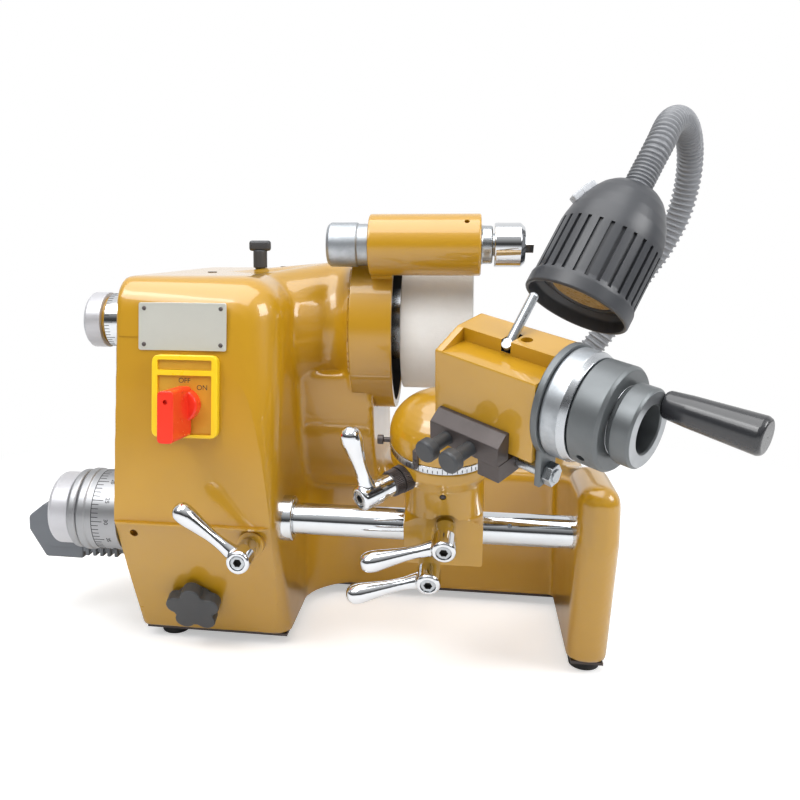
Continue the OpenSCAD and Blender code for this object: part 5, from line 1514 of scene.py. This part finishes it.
@dataclass
class Lamp:
    """Work lamp on a ribbed gooseneck."""

    length: float = 98.0
    rim_r: float = 37.5
    rim_l: float = 13.5
    rib_r: float = 36.4
    rib_l: float = 40.5
    bell_r: float = 36.0
    bell_l: float = 44.0
    bell: tuple[Point2, ...] = ((1, 0.1), (0.955, 0.3), (0.87, 0.5), (0.755, 0.7), (0.65, 0.83),
                                (0.52, 0.93), (0.34, 1))
    ribs: int = 28
    hose_r: float = 10.25
    hose_ribs: int = 96
    foot_z: float = 118.0
    rocker_turn: float = 150.0
    rocker_share: Point2 = (0.855, 0.535)
    rocker_lean: float = 68.0
    route: tuple[Point3, ...] = ((144, 92, 140), (144, 92, 159), (155, 91, 180), (172, 90, 202),
                                 (189, 90, 225), (203, 90, 249), (217, 89, 273), (233, 87, 298),
                                 (245, 83, 325), (249.5, 75, 352), (247, 60, 376), (238.5, 38, 391),
                                 (227, 14, 396), (215, -10, 390), (205, -26.5, 373.8),
                                 (195.5, -33.3, 356.1), (187.5, -39, 341))

    def path(self, t: float) -> Vector:
        """Gives the point at a share of the way along the gooseneck.

        Args:
            t: Share from zero at the foot to one at the lamp.

        Returns:
            The point in millimetres.
        """
        points = [Vector(p) for p in self.route]
        points = [points[0] * 2 - points[1], *points, points[-1] * 2 - points[-2]]
        spot = min(max(t, 0.0), 1.0) * (len(self.route) - 1)
        i = min(int(spot), len(self.route) - 2)
        a, b, c, d = points[i:i + 4]
        f = spot - i
        return (b * 2 + (c - a) * f + (a * 2 - b * 5 + c * 4 - d) * f * f
                + (b * 3 - a - c * 3 + d) * f * f * f) / 2

    def build_hose(self) -> None:
        """Builds the gooseneck as a straight ribbed tube that is laid along its route."""
        low, high = self.hose_r - 1.6, self.hose_r
        shares = [(0.0, low), (0.22, low), (0.38, high - 0.2), (0.5, high), (0.62, high - 0.2),
                  (0.78, low)]
        line = [((i + s) / self.hose_ribs, r) for i in range(self.hose_ribs) for s, r in shares]
        hose = Shape().turn([(0, 0), *line, (1, low), (1, 0)], 0, False, 28)
        side = Vector((1, 0, 0))
        laid: dict[float, tuple[Vector, Vector, Vector]] = {}
        for share in sorted({round(v.co.x, 6) for v in hose.mesh.verts}):
            way = (self.path(share + 0.004) - self.path(share - 0.004)).normalized()
            side = (side - way * side.dot(way)).normalized()
            laid[share] = (self.path(share), side.copy(), way.cross(side))
        for vert in hose.mesh.verts:
            middle, right, up = laid[round(vert.co.x, 6)]
            vert.co = middle + right * vert.co.y + up * vert.co.z
        hose.mend()
        hose.piece("ribbed_hose", FLOOR, "base", "lamp_grey", [Paint.HOSE_GREY], ["gooseneck"], 60)
        foot = Shape().turn([(0, 6), (0, 16), (3, 16), (6, 14.8), (17, 13.1), (22, 12.6), (22, 6)],
                            0.8, True, 64)
        foot.piece("hose_foot", Seat.at(*self.route[0][:2], self.foot_z).upright(), "base",
                   "black_plastic", [Paint.BLACK_PLASTIC], ["lamp_base"])

    def build_head(self) -> None:
        """Builds the ribbed head, its lens and its rocker."""
        rim, bell, r = self.rim_l, self.rim_l + self.rib_l, self.rib_r
        crown = [(bell + self.bell_l * up, self.bell_r * out) for out, up in self.bell]
        shell = Shape().turn([(0.2, 34.8), (0.2, 36.6), (1.2, self.rim_r), (10.6, self.rim_r),
                              (rim, r), (bell, r), *crown, (self.length, 6), (self.length - 5, 6),
                              (bell + 35, 18), (bell + 22, 27), (bell, 31.5), (rim, 31.5),
                              (9.4, 34.8)], 1.2, True, 112)
        slots = Shape()
        for i in range(self.ribs):
            groove = Shape().block((rim - 1.5, 34.2, -1.35), (bell - 0.4, 42, 1.35))
            slots.join(groove, FLOOR.turned("X", 360 * (i + 0.5) / self.ribs))
        out, up = self.rocker_share
        side = LAMP.turned("Z", self.rocker_turn).moved(self.bell_r * out, 0,
                                                        bell + self.bell_l * up)
        rocker = side.turned("Y", self.rocker_lean)
        pocket = Shape().block((-11, -5.5, -10), (11, 5.5, 10))
        shell.cut(slots, pocket.move(Seat(LAMP.upright().matrix.inverted() @ rocker.matrix)))
        shell.piece("lamp_shell", LAMP.upright(), "base", "lamp_grey", [Paint.LAMP_GREY],
                    ["lamp_housing"])
        lens = Shape().turn([(13.2, 0), (12.8, 12), (12.6, 22.6), (11.1, 23.4), (11.1, 26),
                             (13.4, 30.6), (19, 31), (47, 12), (47, 0)], 0.5, False, 96)
        lens.paint(1, lambda middle, way: off_axis(middle) > 22.7 or middle.x > 14)
        lens.piece("lamp_glass", LAMP.upright(), "base", "lamp_reflector",
                   [Paint.LENS, Paint.LAMP_GREY], ["lamp_lens"])
        button = Shape().block((-10, -4.5, -5), (10, 4.5, 4)).soften(1.4, 3)
        button.join(Shape().rod(-5, 5, 2, 0.3, 24), FLOOR.turned("Z", 90))
        button.piece("lamp_rocker_key", rocker, "lamp_rocker", "pearl_plastic", [Paint.ROCKER],
                     ["lamp_switch"])

    def build(self) -> None:
        """Builds the lamp."""
        self.build_hose()
        self.build_head()


@dataclass
class Studio:
    """Pale floor, soft lights, a white surround and the camera of the photograph."""

    eye: Point3 = (0.0722, -0.6488, 0.3054)
    yaw: float = 8.616
    pitch: float = 6.263
    lens: float = 36.9
    sensor: float = 36.0
    shift: Point2 = (0.06875, -0.0875)
    fill: float = 0.32
    floor_glow: float = 0.45
    floor_fade: Point2 = (0.3, 0.7)
    lights: tuple[tuple[str, Point3, Point3, float, float], ...] = (
        ("key_light", (-0.8, -1.1, 1.4), (0.0, 0.0, 0.15), 0.8, 11.5),
        ("fill_light", (1.3, -0.55, 1.0), (0.1, 0.0, 0.2), 0.7, 12.5),
        ("top_light", (-0.1, -0.35, 1.4), (-0.05, -0.05, 0.2), 1.3, 17.0))

    def camera(self) -> None:
        """Sets the camera."""
        data = bpy.data.cameras.new("camera")
        data.lens, data.sensor_width = self.lens, self.sensor
        data.shift_x, data.shift_y = self.shift
        data.clip_start = 0.01
        made = shown("camera", data)
        made.location = self.eye
        made.rotation_euler = (math.radians(90 - self.pitch), 0, math.radians(self.yaw))
        bpy.context.scene.camera = made

    def light(self, name: str, place: Point3, aim: Point3, size: float, power: float) -> None:
        """Adds a soft square light.

        Args:
            name: Name of the light.
            place: Where it hangs, in metres.
            aim: Point that it faces.
            size: Side of the square.
            power: Power in watts.
        """
        data = bpy.data.lights.new(name, "AREA")
        data.size, data.energy = size, power
        made = shown(name, data)
        made.location = place
        made.rotation_euler = (Vector(aim) - Vector(place)).to_track_quat("-Z", "Y").to_euler()

    def surround(self) -> None:
        """Sets a white surround for what the eye and bright metal see, and a soft grey fill."""
        world = bpy.data.worlds.new("surround")
        tree = fresh_tree(world)
        path = add(tree, "LightPath").outputs
        toward = add(tree, "TexCoord").outputs["Generated"]
        way = add(tree, "SeparateXYZ", None, {0: toward}).outputs
        height = add(tree, "MapRange", {"From Min": 0.15, "From Max": 0.9, "To Min": 0.06,
                                        "To Max": 0.95}, {"Value": way[2]}).outputs[0]
        behind = add(tree, "MapRange", {"From Min": -0.1, "From Max": 0.5, "To Min": 0.0,
                                        "To Max": 0.95}, {"Value": way[1]}).outputs[0]
        height = add(tree, "Math", {"operation": "MAXIMUM"}, {0: height, 1: behind}).outputs[0]
        fill = add(tree, "Background", {"Color": linear("#F4F5F7"), "Strength": self.fill})
        mirror = add(tree, "Background", {"Color": WHITE}, {"Strength": height})
        white = add(tree, "Background", {"Color": WHITE, "Strength": 1.0})
        shiny = add(tree, "MixShader", None, {0: path["Is Glossy Ray"], 1: fill.outputs[0],
                                              2: mirror.outputs[0]})
        seen = add(tree, "Math", {"operation": "MAXIMUM"},
                   {0: path["Is Camera Ray"], 1: path["Is Transmission Ray"]}).outputs[0]
        mixed = add(tree, "MixShader", None, {0: seen, 1: shiny.outputs[0], 2: white.outputs[0]})
        add(tree, "OutputWorld", None, {"Surface": mixed.outputs[0]})
        bpy.context.scene.world = world

    def floor(self) -> None:
        """Lays a white floor that keeps the shadow."""
        mesh = bmesh.new()
        bmesh.ops.create_grid(mesh, x_segments=1, y_segments=1, size=6.0)
        data = bpy.data.meshes.new("studio_floor")
        mesh.to_mesh(data)
        mesh.free()
        # Matt white paper: faint fibre, and a glow that fades it into the white surround
        paint = bpy.data.materials.new("matt_white_paper")
        tree = fresh_tree(paint)
        path = add(tree, "LightPath").outputs
        place = add(tree, "TexCoord").outputs["Object"]
        fibre = add(tree, "TexNoise", {"Scale": 400.0}, {"Vector": place})
        tint = add(tree, "Mix", {"data_type": "RGBA", 6: linear("#F6F6F6"), 7: linear("#F1F1F1")},
                   {0: fibre.outputs[0]})
        matt = add(tree, "BsdfDiffuse", None, {"Color": tint.outputs[2]})
        glow = add(tree, "Emission", {"Color": WHITE, "Strength": self.floor_glow})
        both = add(tree, "AddShader", None, {0: matt.outputs[0], 1: glow.outputs[0]})
        far = add(tree, "VectorMath", {"operation": "LENGTH"}, {0: place}).outputs["Value"]
        near, end = self.floor_fade
        fade = add(tree, "MapRange", {"From Min": near, "From Max": end}, {"Value": far}).outputs[0]
        white = add(tree, "Emission", {"Color": WHITE, "Strength": 1.0})
        paper = add(tree, "MixShader", None, {0: fade, 1: both.outputs[0], 2: white.outputs[0]})
        mixed = add(tree, "MixShader", None, {0: path["Is Camera Ray"], 1: matt.outputs[0],
                                              2: paper.outputs[0]})
        add(tree, "OutputMaterial", None, {"Surface": mixed.outputs[0]})
        data.materials.append(paint)
        made = shown("studio_floor", data)

    def build(self) -> None:
        """Builds the studio."""
        self.camera()
        self.surround()
        self.floor()
        for row in self.lights:
            self.light(*row)
        bpy.context.scene.view_settings.view_transform = "Standard"


def main() -> None:
    """Builds the studio and every sub-assembly, and keeps the sizes."""
    logging.basicConfig(level=logging.INFO, format="%(message)s")
    for part in (Studio(), Casting(), FrontFittings(), WheelHead(), GuideBar(), Carriage(),
                 WorkHead(), Dresser(), Lamp()):
        log.info("%s", type(part).__doc__)
        part.build()


if __name__ == "__main__":
    main()
